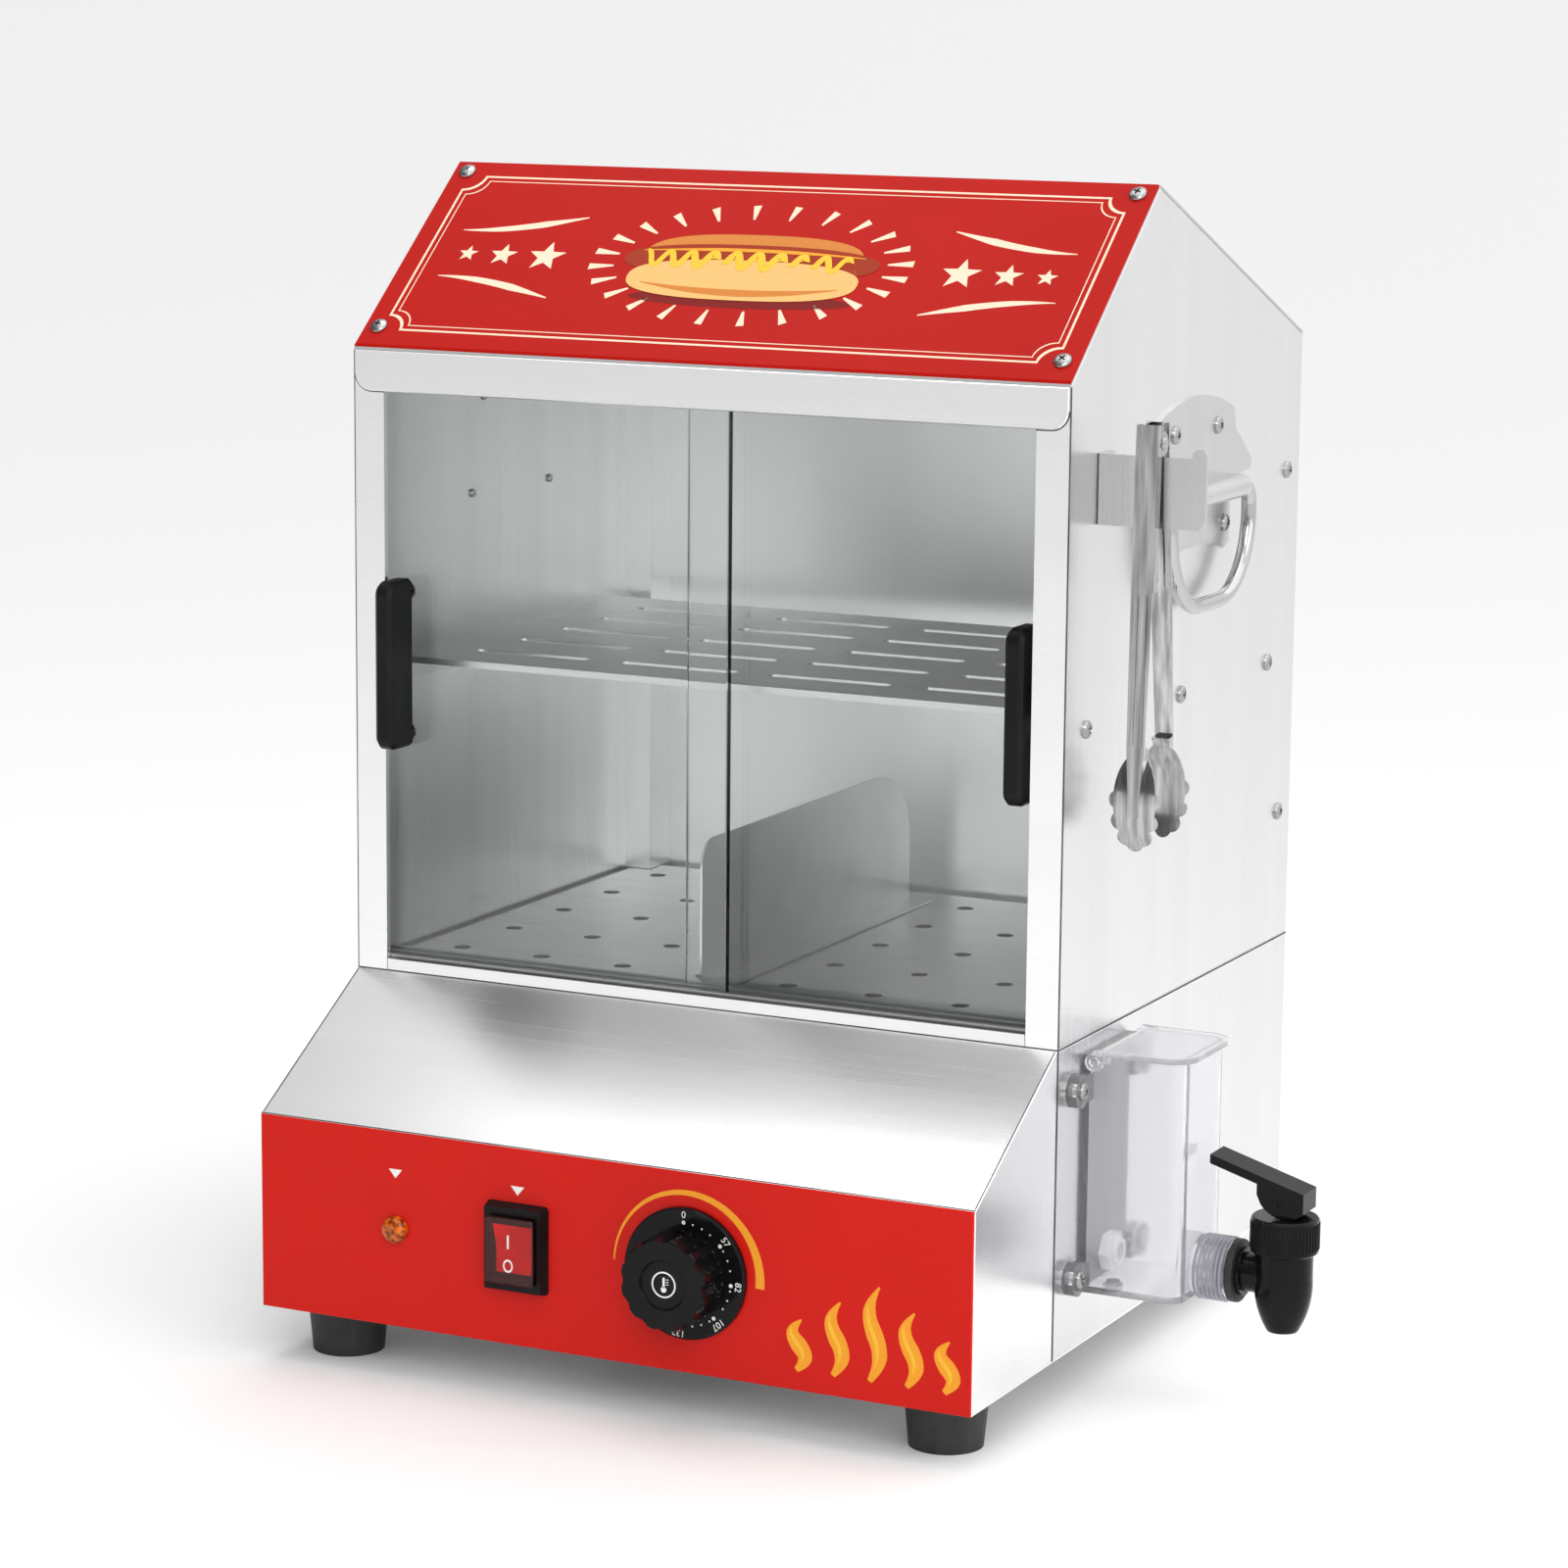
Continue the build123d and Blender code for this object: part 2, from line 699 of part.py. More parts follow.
rack_z = rim_z + sheet
rack_width = pan_width + 2 * pan_rim
rack_length = pan_length + 2 * pan_rim - 2 * sheet
with BuildPart() as steam_rack:
    with BuildSketch(level(rack_z)):
        with Locations((0, pan_middle_y)):
            Rectangle(rack_width, rack_length)
            with GridLocations(
                rack_width / rack_columns, rack_length / rack_rows, rack_columns, rack_rows
            ):
                Circle(rack_hole_radius, mode=Mode.SUBTRACT)
    extrude(amount=sheet)
steam_rack.part.label = "steam_rack"
export_step(steam_rack.part, "parts/steam_rack.step")

with BuildPart() as cable_gland:
    with BuildSketch(facing_front(back_y + nut_height)):
        with Locations((gland_x, gland_z)):
            RegularPolygon(gland_flange_radius, 6)
    extrude(amount=nut_height)
    with BuildSketch(facing_front(back_y + nut_height)):
        with Locations((gland_x, gland_z)):
            Circle(gland_thread_radius)
    extrude(amount=-(gland_length - nut_height), taper=6)
    with BuildSketch(facing_front(back_y)):
        with Locations((gland_x, gland_z)):
            Circle(gland_thread_radius)
    extrude(amount=2 * sheet + nut_height)
    with BuildSketch(facing_front(back_y + gland_length)):
        with Locations((gland_x, gland_z)):
            Circle(gland_bore_radius)
    extrude(amount=gland_length + 2 * sheet + nut_height, mode=Mode.SUBTRACT)
cable_gland.part.label = "cable_gland"
export_step(cable_gland.part, "parts/cable_gland.step")

# %% Cabinet: side panels, back, stiles, header, roof and sign
shelf_z = seam_z + shelf_height
shelf_front_y = cabinet_y + track_depth + 4.5
shelf_middle_y = shelf_front_y + shelf_length / 2
channel_front_y = back_y - sheet - channel_depth
channel_bottom_z = rack_z + sheet + face_gap
channel_top_z = back_eave_z - 6 * sheet
shelf_screw_places = [
    (shelf_middle_y - 3 + turn * (shelf_length / 2 - 2.5), shelf_z - shelf_flange / 2 + 0.5)
    for turn in (-1, 0, 1)
]
channel_screw_places = [
    (channel_front_y + channel_screw_setback, channel_bottom_z + height)
    for height in channel_screw_heights
]
side_screw_places = shelf_screw_places + channel_screw_places
handle_screw_places = [
    (handle_y + turn * spacing, seam_z + height)
    for turn in (-1, 1)
    for spacing, height in (
        (handle_screw_half_spacing, handle_screw_height),
        (handle_low_screw_half_spacing, handle_low_screw_height),
    )
]
bracket_top_z = seam_z + bracket_top_height
bracket_screw_places = [
    (bracket_y + bracket_flange * 0.6, bracket_top_z - drop * bracket_drop) for drop in (0.25, 0.75)
]


def roof_underside(y):
    """Height of the front slope's underside."""
    return eave_z + (y - cabinet_y) * ridge_rise / ridge_setback


def side_panel(side, extra_holes):
    """Five-sided end wall of the cabinet; side is 1 for the right and -1 for the left."""
    with BuildPart() as panel:
        with BuildSketch(facing_right(side * inner_half)):
            Polygon(
                (tank_front_y, seam_z),
                (tank_front_y, roof_underside(tank_front_y)),
                (ridge_y, ridge_z),
                (back_y, back_eave_z),
                (back_y, seam_z),
                align=None,
            )
            with Locations(*side_screw_places, *handle_screw_places, *extra_holes):
                Circle(panel_screw_radius + hole_play, mode=Mode.SUBTRACT)
        extrude(amount=side * sheet)
        outer_face = panel.faces().sort_by(Axis.X)[-1 if side > 0 else 0]
        chamfer(outer_face.outer_wire().edges(), edge_break)
    return panel.part


left_side_panel = side_panel(-1, [])
left_side_panel.label = "left_side_panel"
export_step(left_side_panel, "parts/left_side_panel.step")

right_side_panel = side_panel(1, bracket_screw_places)
right_side_panel.label = "right_side_panel"
export_step(right_side_panel, "parts/right_side_panel.step")

with BuildPart() as back_panel:
    with BuildSketch(facing_front(back_y)):
        with Locations((0, (seam_z + back_eave_z) / 2)):
            Rectangle(2 * inner_half, back_eave_z - seam_z)
    extrude(amount=sheet)
back_panel.part.label = "back_panel"
export_step(back_panel.part, "parts/back_panel.step")

with BuildPart() as corner_channels:
    with BuildSketch(level(channel_bottom_z)):
        for side in (-1, 1):
            with Locations((side * (inner_half - channel_width / 2), channel_front_y + channel_depth / 2)):
                Rectangle(channel_width, channel_depth)
            with Locations(
                (side * (inner_half - channel_width / 2), channel_front_y + channel_depth / 2 + sheet)
            ):
                Rectangle(channel_width - 2 * sheet, channel_depth, mode=Mode.SUBTRACT)
    extrude(amount=channel_top_z - channel_bottom_z)
    with BuildSketch(facing_right(-inner_half)):
        with Locations(*channel_screw_places):
            Circle(panel_screw_radius + hole_play)
    extrude(amount=sheet, mode=Mode.SUBTRACT)
    with BuildSketch(facing_right(inner_half)):
        with Locations(*channel_screw_places):
            Circle(panel_screw_radius + hole_play)
    extrude(amount=-sheet, mode=Mode.SUBTRACT)
corner_channels.part.label = "corner_channels"
export_step(corner_channels.part, "parts/corner_channels.step")

with BuildPart() as door_stiles:
    with BuildSketch(level(seam_z)):
        for side in (-1, 1):
            with Locations((side * (window_half + stile_width / 2), cabinet_y + sheet / 2)):
                Rectangle(stile_width, sheet)
            with Locations((side * (window_half + sheet / 2), cabinet_y + stile_return / 2)):
                Rectangle(sheet, stile_return)
    extrude(amount=eave_height)
door_stiles.part.label = "door_stiles"
export_step(door_stiles.part, "parts/door_stiles.step")

with BuildPart() as front_header:
    with BuildSketch(facing_front(cabinet_y)) as header_outline:
        with Locations((0, header_z + header_height / 2)):
            Rectangle(housing_width - sheet, header_height)
        fillet(header_outline.vertices().group_by(Axis.Y)[0], header_corner_radius)
    extrude(amount=sheet)
    chamfer(front_header.faces().sort_by(Axis.Y)[0].edges(), edge_break)
front_header.part.label = "front_header"
export_step(front_header.part, "parts/front_header.step")

sign_end_y = ridge_y - sheet
slope_cosine = math.cos(math.radians(roof_slope))
slope_sine = math.sin(math.radians(roof_slope))
sign_screw_planes = [
    Plane(
        origin=(
            side * (half_width - sign_screw_inset),
            cabinet_y + along * slope_cosine,
            eave_z + roof_thickness + sign_thickness + along * slope_sine,
        ),
        x_dir=(1, 0, 0),
        z_dir=(0, -slope_sine, slope_cosine),
    )
    for side in (-1, 1)
    for along in sign_screw_lengths
]
sign_grip = (roof_thickness + sign_thickness) * slope_cosine

with BuildPart() as roof_panel:
    with BuildSketch(Plane.YZ):
        Polygon(
            (cabinet_y, eave_z),
            (ridge_y, ridge_z),
            (back_y, back_eave_z),
            (back_y, back_eave_z + roof_thickness),
            (ridge_y, ridge_z + roof_thickness),
            (cabinet_y, eave_z + roof_thickness),
            align=None,
        )
    extrude(amount=half_width, both=True)
    for screw_plane in sign_screw_planes:
        with BuildSketch(screw_plane):
            Circle(panel_screw_radius + hole_play)
        extrude(amount=-2 * sign_grip, mode=Mode.SUBTRACT)
roof_panel.part.label = "roof_panel"
export_step(roof_panel.part, "parts/roof_panel.step")

with BuildPart() as sign_panel:
    with BuildSketch(Plane.YZ):
        Polygon(
            (cabinet_y, eave_z + roof_thickness),
            (sign_end_y, roof_underside(sign_end_y) + roof_thickness),
            (sign_end_y, roof_underside(sign_end_y) + roof_thickness + sign_thickness),
            (cabinet_y, eave_z + roof_thickness + sign_thickness),
            align=None,
        )
    extrude(amount=half_width, both=True)
    sign_top = sign_panel.faces().sort_by(SortBy.AREA)[-2:].sort_by(Axis.Z)[-1]
    chamfer(sign_top.edges(), edge_break)
    for screw_plane in sign_screw_planes:
        with BuildSketch(screw_plane):
            Circle(panel_screw_radius + hole_play)
        extrude(amount=-2 * sign_grip, mode=Mode.SUBTRACT)
sign_panel.part.label = "sign_panel"
export_step(sign_panel.part, "parts/sign_panel.step")

# %% Door tracks, panes, grips and their screws
track_front_y = cabinet_y + 3.5
front_pane_y = track_front_y + (track_depth - glass_pitch - glass_thickness) / 2
rear_pane_y = front_pane_y + glass_pitch
pane_bottom_z = seam_z + groove_floor + face_gap
upper_track_z = header_z + 0.5 * sheet
pane_top_z = upper_track_z + upper_track_height - groove_roof - pane_lift
pane_offset = -1.0  # the lap of the closed panes lies this far from the middle
left_pane_x = pane_offset + pane_lap / 2 - pane_width / 2
right_pane_x = pane_offset - pane_lap / 2 + pane_width / 2
groove_middles = [pane_y + glass_thickness / 2 for pane_y in (front_pane_y, rear_pane_y)]

with BuildPart() as lower_track:
    with BuildSketch(level(seam_z)):
        with Locations((0, track_front_y + track_depth / 2)):
            Rectangle(2 * inner_half, track_depth)
    extrude(amount=lower_track_height)
    with BuildSketch(level(seam_z + groove_floor)):
        with Locations(*[(0, middle) for middle in groove_middles]):
            Rectangle(2 * inner_half, glass_thickness + 2 * groove_play)
    extrude(amount=lower_track_height, mode=Mode.SUBTRACT)
lower_track.part.label = "lower_track"
export_step(lower_track.part, "parts/lower_track.step")

with BuildPart() as upper_track:
    with BuildSketch(level(upper_track_z)):
        with Locations((0, track_front_y + track_depth / 2)):
            Rectangle(2 * inner_half, track_depth)
    extrude(amount=upper_track_height)
    with BuildSketch(level(upper_track_z)):
        with Locations(*[(0, middle) for middle in groove_middles]):
            Rectangle(2 * inner_half, glass_thickness + 2 * groove_play)
    extrude(amount=upper_track_height - groove_roof, mode=Mode.SUBTRACT)
upper_track.part.label = "upper_track"
export_step(upper_track.part, "parts/upper_track.step")


def grip_screw_places(grip_x):
    """The two screws of a door grip, on an upright plane seen from the front."""
    middle_z = seam_z + grip_centre_height
    return [(grip_x, middle_z + turn * grip_screw_spacing / 2) for turn in (-1, 1)]


def door_glass(pane_x, pane_y, grip_x):
    """One sliding pane with the two holes of its grip."""
    with BuildPart() as pane:
        with BuildSketch(facing_front(pane_y)):
            with Locations((pane_x, (pane_bottom_z + pane_top_z) / 2)):
                Rectangle(pane_width, pane_top_z - pane_bottom_z)
            with Locations(*grip_screw_places(grip_x)):
                Circle(panel_screw_radius + hole_play, mode=Mode.SUBTRACT)
        extrude(amount=-glass_thickness)
        chamfer(pane.edges().filter_by(Axis.Z).filter_by(GeomType.LINE), 0.4)
    return pane.part


def door_grip(pane_y, grip_x):
    """Upright grip that stands out from its pane, rounded in front and bevelled on both sides."""
    with BuildPart() as grip:
        with BuildSketch(facing_right(grip_x)) as side_view:
            with Locations((pane_y - grip_depth / 2, seam_z + grip_centre_height)):
                Rectangle(grip_depth, grip_height)
            fillet(side_view.vertices().group_by(Axis.X)[0], grip_depth / 3)
        extrude(amount=grip_width / 2, both=True)
        front_edges = grip.faces().sort_by(Axis.Y)[0].edges().filter_by(Axis.Z)
        chamfer(front_edges, grip_width / 5)
        with BuildSketch(facing_front(pane_y)):
            with Locations(*grip_screw_places(grip_x)):
                Circle(panel_screw_radius + hole_play)
        extrude(amount=grip_depth / 2, mode=Mode.SUBTRACT)
    return grip.part


def grip_screws(pane_y, grip_x):
    """The grip's two screws, with their heads on the inside of the pane."""
    inside_y = pane_y + glass_thickness
    with BuildPart() as screws:
        with BuildSketch(facing_front(inside_y)):
            with Locations(*grip_screw_places(grip_x)):
                Circle(panel_screw_head_radius)
        extrude(amount=-grip_screw_head_height)
        with BuildSketch(facing_front(inside_y)):
            with Locations(*grip_screw_places(grip_x)):
                Circle(panel_screw_radius)
        extrude(amount=glass_thickness + grip_depth / 2 - face_gap)
    return screws.part


doors = (
    ("left_door", left_pane_x, front_pane_y, left_pane_x - pane_width / 2 + grip_inset),
    ("right_door", right_pane_x, rear_pane_y, right_pane_x + pane_width / 2 - grip_inset),
)
for door_name, pane_x, pane_y, grip_x in doors:
    glass = door_glass(pane_x, pane_y, grip_x)
    glass.label = f"{door_name}_glass"
    export_step(glass, f"parts/{door_name}_glass.step")
    grip_part = door_grip(pane_y, grip_x)
    grip_part.label = f"{door_name}_handle"
    export_step(grip_part, f"parts/{door_name}_handle.step")
    screws_part = grip_screws(pane_y, grip_x)
    screws_part.label = f"{door_name}_screws"
    export_step(screws_part, f"parts/{door_name}_screws.step")

# %% Bun shelf and divider
with BuildPart() as bun_shelf:
    with BuildSketch(level(shelf_z - sheet)):
        with Locations((0, shelf_middle_y)):
            Rectangle(2 * inner_half, shelf_length)
            with GridLocations(1.25 * shelf_slot_length, 0.18 * shelf_length, 4, 5):
                SlotOverall(shelf_slot_length, shelf_slot_width, mode=Mode.SUBTRACT)
    extrude(amount=sheet)
    with BuildSketch(level(shelf_z - shelf_lip)):
        with Locations((0, shelf_front_y + sheet / 2), (0, shelf_front_y + shelf_length - sheet / 2)):
            Rectangle(2 * inner_half, sheet)
    extrude(amount=shelf_lip - sheet)
    with BuildSketch(level(shelf_z - shelf_flange)):
        for side in (-1, 1):
            with Locations((side * (inner_half - sheet / 2), shelf_middle_y - shelf_tab / 2)):
                Rectangle(sheet, shelf_length + shelf_tab)
    extrude(amount=shelf_flange)
    with BuildSketch(facing_right(-inner_half)):
        with Locations(*shelf_screw_places):
            Circle(panel_screw_radius + hole_play)
    extrude(amount=sheet, mode=Mode.SUBTRACT)
    with BuildSketch(facing_right(inner_half)):
        with Locations(*shelf_screw_places):
            Circle(panel_screw_radius + hole_play)
    extrude(amount=-sheet, mode=Mode.SUBTRACT)
bun_shelf.part.label = "bun_shelf"
export_step(bun_shelf.part, "parts/bun_shelf.step")

divider_z = rack_z + sheet + face_gap
divider_front_y = pan_front_y - pan_rim / 2
with BuildPart() as divider:
    with BuildSketch(facing_right(divider_offset)) as divider_outline:
        with Locations((divider_front_y + divider_length / 2, divider_z + divider_height / 2)):
            Rectangle(divider_length, divider_height)
        top_corners = divider_outline.vertices().group_by(Axis.Y)[-1].sort_by(Axis.X)
        fillet(top_corners[0], divider_front_radius)
        fillet(divider_outline.vertices().group_by(Axis.Y)[-1].sort_by(Axis.X)[-1], divider_rear_radius)
    extrude(amount=-sheet)
    with BuildSketch(level(divider_z)):
        with Locations((divider_offset + divider_foot / 2, divider_front_y + divider_length / 2)):
            Rectangle(divider_foot, divider_length)
    extrude(amount=sheet)
divider.part.label = "divider"
export_step(divider.part, "parts/divider.step")

# %% Carry handles
ring_z = seam_z + ring_axis_height
ring_x = half_width + ring_standoff
strap_inner_radius = ring_rod_radius + running_play
strap_outer_radius = strap_inner_radius + strap_wall

with BuildPart() as handle_plates:
    for side in (-1, 1):
        plate_plane = Plane(
            origin=(side * half_width, handle_y, seam_z), x_dir=(0, side, 0), z_dir=(side, 0, 0))
        with BuildSketch(plate_plane):
            with BuildLine():
                ThreePointArc(
                    (0, handle_top_height),
                    (0.55 * waist, handle_top_height - 2.2),
                    (46, handle_top_height - 8.6),
                )
                Polyline(
                    (46, handle_top_height - 8.6),
                    (48, handle_top_height - 18),
                    (wing_reach, ring_axis_height + 9),
                    (wing_reach - 1.5, ring_axis_height + 4.5),
                    (50, ring_axis_height + 3),
                    (waist, ring_axis_height - 4),
                    (waist, ring_axis_height - 26),
                    (36, ring_axis_height - 28.5),
                )
                ThreePointArc(
                    (36, ring_axis_height - 28.5),
                    (0.5 * waist, ring_axis_height - 25.2),
                    (0, ring_axis_height - 24),
                )
                Line((0, ring_axis_height - 24), (0, handle_top_height))
            make_face()
            mirror(about=Plane.YZ)
            with Locations(
                *[(y - handle_y, z - seam_z) for y, z in handle_screw_places]
            ):
                Circle(panel_screw_radius + hole_play, mode=Mode.SUBTRACT)
        extrude(amount=handle_plate_thickness)
        strap_plane = Plane(
            origin=(side * half_width, handle_y, ring_z), x_dir=(side, 0, 0), z_dir=(0, -1, 0))
        strap_run = ring_standoff - handle_plate_thickness
        strap_middle = handle_plate_thickness + strap_run / 2
        with BuildSketch(strap_plane):
            with Locations((ring_standoff, 0)):
                Circle(strap_outer_radius)
            with Locations((strap_middle, 0)):
                Rectangle(strap_run, 2 * strap_outer_radius)
            with Locations((ring_standoff, 0)):
                Circle(strap_inner_radius, mode=Mode.SUBTRACT)
            with Locations((strap_middle, 0)):
                Rectangle(strap_run, 2 * strap_inner_radius, mode=Mode.SUBTRACT)
        extrude(amount=strap_half_length, both=True)
handle_plates.part.label = "handle_plates"
export_step(handle_plates.part, "parts/handle_plates.step")


def carry_ring(side):
    """Bent-rod bail whose straight top bar turns in the strap of its plate."""
    ring_plane = Plane(
        origin=(side * ring_x, handle_y, ring_z), x_dir=(0, side, 0), z_dir=(side, 0, 0))
    with BuildPart() as ring:
        with BuildLine(ring_plane) as half_loop:
            FilletPolyline(
                (0, 0),
                (ring_half_width, 0),
                (ring_half_width, -ring_drop),
                (0, -ring_drop),
                radius=(ring_top_bend, ring_bottom_bend),
            )
        with BuildSketch(Plane(origin=half_loop.line @ 0, z_dir=half_loop.line % 0)):
            Circle(ring_rod_radius)
        sweep()
        mirror(about=Plane.XZ.offset(-handle_y))
    return ring.part


for side_name, side in (("left", -1), ("right", 1)):
    ring_part = carry_ring(side)
    ring_part.label = f"{side_name}_carry_ring"
    export_step(ring_part, f"parts/{side_name}_carry_ring.step")

# %% Tongs bracket
bracket_front_y = bracket_y - bracket_thickness / 2
with BuildPart() as tongs_bracket:
    with BuildSketch(facing_front(bracket_front_y)) as bracket_outline:
        with Locations((half_width + bracket_reach / 2, bracket_top_z - bracket_drop / 2)):
            Rectangle(bracket_reach, bracket_drop)
        with Locations((half_width + bracket_reach - bracket_finger / 2, bracket_top_z)):
            Rectangle(bracket_finger, 2 * 4.0)
        fillet(bracket_outline.vertices().group_by(Axis.Y)[-1], 0.45 * bracket_finger)
        fillet(bracket_outline.vertices().group_by(Axis.Y)[0].sort_by(Axis.X)[-1], 5.0)
    extrude(amount=-bracket_thickness)
    with BuildSketch(facing_right(half_width)):
        with Locations((bracket_front_y + bracket_flange / 2, bracket_top_z - bracket_drop / 2)):
            Rectangle(bracket_flange, bracket_drop)
        with Locations(*bracket_screw_places):
            Circle(panel_screw_radius + hole_play, mode=Mode.SUBTRACT)
    extrude(amount=bracket_thickness)
    bend_edge = tongs_bracket.edges().filter_by(Axis.Z).group_by(Axis.X)[0].sort_by(Axis.Y)[0]
    fillet(bend_edge, 0.9 * bracket_thickness)
tongs_bracket.part.label = "tongs_bracket"
export_step(tongs_bracket.part, "parts/tongs_bracket.step")

# %% Tongs: two ribbed arms with scalloped scoops on one rivet
pivot = (half_width + tongs_standout, bracket_y, bracket_top_z + roller_radius + face_gap)
rivet_head = 2.8
front_ear_inside = arm_width / 2 - arm_sheet
rear_ear_inside = front_ear_inside - arm_sheet - 0.2
roller_half_length = rear_ear_inside - 0.4
ear_round = arm_gap - 0.5


def tongs_arm(ear_inside):
    """One arm about its own pivot: +Y up the arm, +Z outward, the web and its ears folded from one sheet."""
    scoop_middle = -tongs_length + scoop_length / 2
    crown = arm_gap + arm_sheet
    with BuildPart() as arm:
        with BuildSketch(Plane.XY):
            with Locations((0, scoop_middle)):
                Ellipse(scoop_width / 2 - 2, scoop_length / 2 - 2)
            for lobe in range(scoop_lobes):
                turn = math.pi * (1 + lobe / (scoop_lobes - 1))
                with Locations((
                    (scoop_width / 2 - lobe_radius) * math.cos(turn),
                    scoop_middle + (scoop_length / 2 - lobe_radius) * math.sin(turn),
                )):
                    Circle(lobe_radius)
        extrude(amount=2 * crown)
        with Locations((0, scoop_middle, crown - scoop_radius)):
            Sphere(scoop_radius, rotation=(90, 0, 0), mode=Mode.INTERSECT)
        with BuildSketch(Plane.XY):
            Polygon(
                (0.4 * arm_width, scoop_length / 2 + scoop_middle),
                (0.2 * arm_width, scoop_middle - scoop_length / 6),
                (-0.2 * arm_width, scoop_middle - scoop_length / 6),
                (-0.4 * arm_width, scoop_length / 2 + scoop_middle),
                align=None,
            )
        extrude(amount=crown)
        with Locations((0, scoop_middle, crown - scoop_radius)):
            Sphere(scoop_radius - arm_sheet, rotation=(90, 0, 0), mode=Mode.SUBTRACT)
        with BuildSketch(Plane.XY.offset(arm_gap)):
            Polygon(
                (-arm_width / 2, tongs_top),
                (arm_width / 2, tongs_top),
                (0.47 * arm_width, -flange_length),
                (0.4 * arm_width, scoop_length / 2 + scoop_middle),
                (-0.4 * arm_width, scoop_length / 2 + scoop_middle),
                (-0.47 * arm_width, -flange_length),
                align=None,
            )
        extrude(amount=arm_sheet)
        rib_length = tongs_length - scoop_length - flange_length
        with BuildSketch(Plane.XY.offset(crown)):
            for rib_side in (-1, 1):
                with Locations((rib_side * 0.2 * arm_width, -flange_length - rib_length / 2)):
                    SlotOverall(rib_length - 2 * arm_sheet, 1.6 * arm_sheet, rotation=90)
        extrude(amount=0.6 * arm_sheet)
        with BuildSketch(Plane.XY.offset(arm_gap)):
            for flange_side in (-1, 1):
                with Locations((
                    flange_side * (ear_inside + arm_sheet / 2), (tongs_top - flange_length) / 2
                )):
                    Rectangle(arm_sheet, tongs_top + flange_length)
        extrude(amount=-(arm_gap - rivet_radius - 2 * hole_play))
        for flange_side in (-1, 1):
            with BuildSketch(Plane.YZ.offset(flange_side * ear_inside)):
                Circle(ear_round)
                with Locations((0, arm_gap / 2)):
                    Rectangle(2 * ear_round, arm_gap)
            extrude(amount=flange_side * arm_sheet)
        with BuildSketch(Plane.YZ):
            Circle(rivet_radius + running_play)
        extrude(amount=arm_width, both=True, mode=Mode.SUBTRACT)
    return arm.part


arms = (
    ("tongs_front_arm", -1, math.radians(front_arm_tilt), front_ear_inside),
    ("tongs_rear_arm", 1, math.radians(rear_arm_tilt), rear_ear_inside),
)
for arm_name, outward, lean, ear_inside in arms:
    arm_plane = Plane(
        origin=pivot,
        x_dir=(-outward, 0, 0),
        z_dir=(0, outward * math.cos(lean), math.sin(lean)),
    )
    with BuildPart(arm_plane) as placed_arm:
        add(tongs_arm(ear_inside))
    placed_arm.part.label = arm_name
    export_step(placed_arm.part, f"parts/{arm_name}.step")

with BuildPart() as tongs_rivet:
    with BuildSketch(Plane(origin=pivot, z_dir=(1, 0, 0))):
        Circle(rivet_radius)
    extrude(amount=arm_width / 2 + arm_sheet, both=True)
    for head_side in (-1, 1):
        with BuildSketch(Plane(
            origin=(pivot[0] + head_side * (arm_width / 2 + hole_play), pivot[1], pivot[2]),
            z_dir=(head_side, 0, 0),
        )):
            Circle(rivet_head)
        extrude(amount=arm_sheet, taper=30)
tongs_rivet.part.label = "tongs_rivet"
export_step(tongs_rivet.part, "parts/tongs_rivet.step")

with BuildPart() as tongs_spring:
    with BuildSketch(Plane(origin=pivot, z_dir=(1, 0, 0))):
        Circle(roller_radius)
        Circle(rivet_radius + hole_play, mode=Mode.SUBTRACT)
    extrude(amount=roller_half_length, both=True)
tongs_spring.part.label = "tongs_spring"
export_step(tongs_spring.part, "parts/tongs_spring.step")

# %% Water box with its lid, inlet, plug and spigot
box_z = base_z + box_rise
box_outer_x = half_width + box_reach
box_top_z = box_z + box_height
spigot_z = base_z + spigot_height
hinge_x = half_width + lid_hinge_standout
hinge_z = box_top_z - 2.5
ledge_depth = lid_hinge_standout + 2.8
wall_half_length = box_length / 2
plug_place = (half_width + 11.0, box_y - 12.0)
plug_radius = 3.0

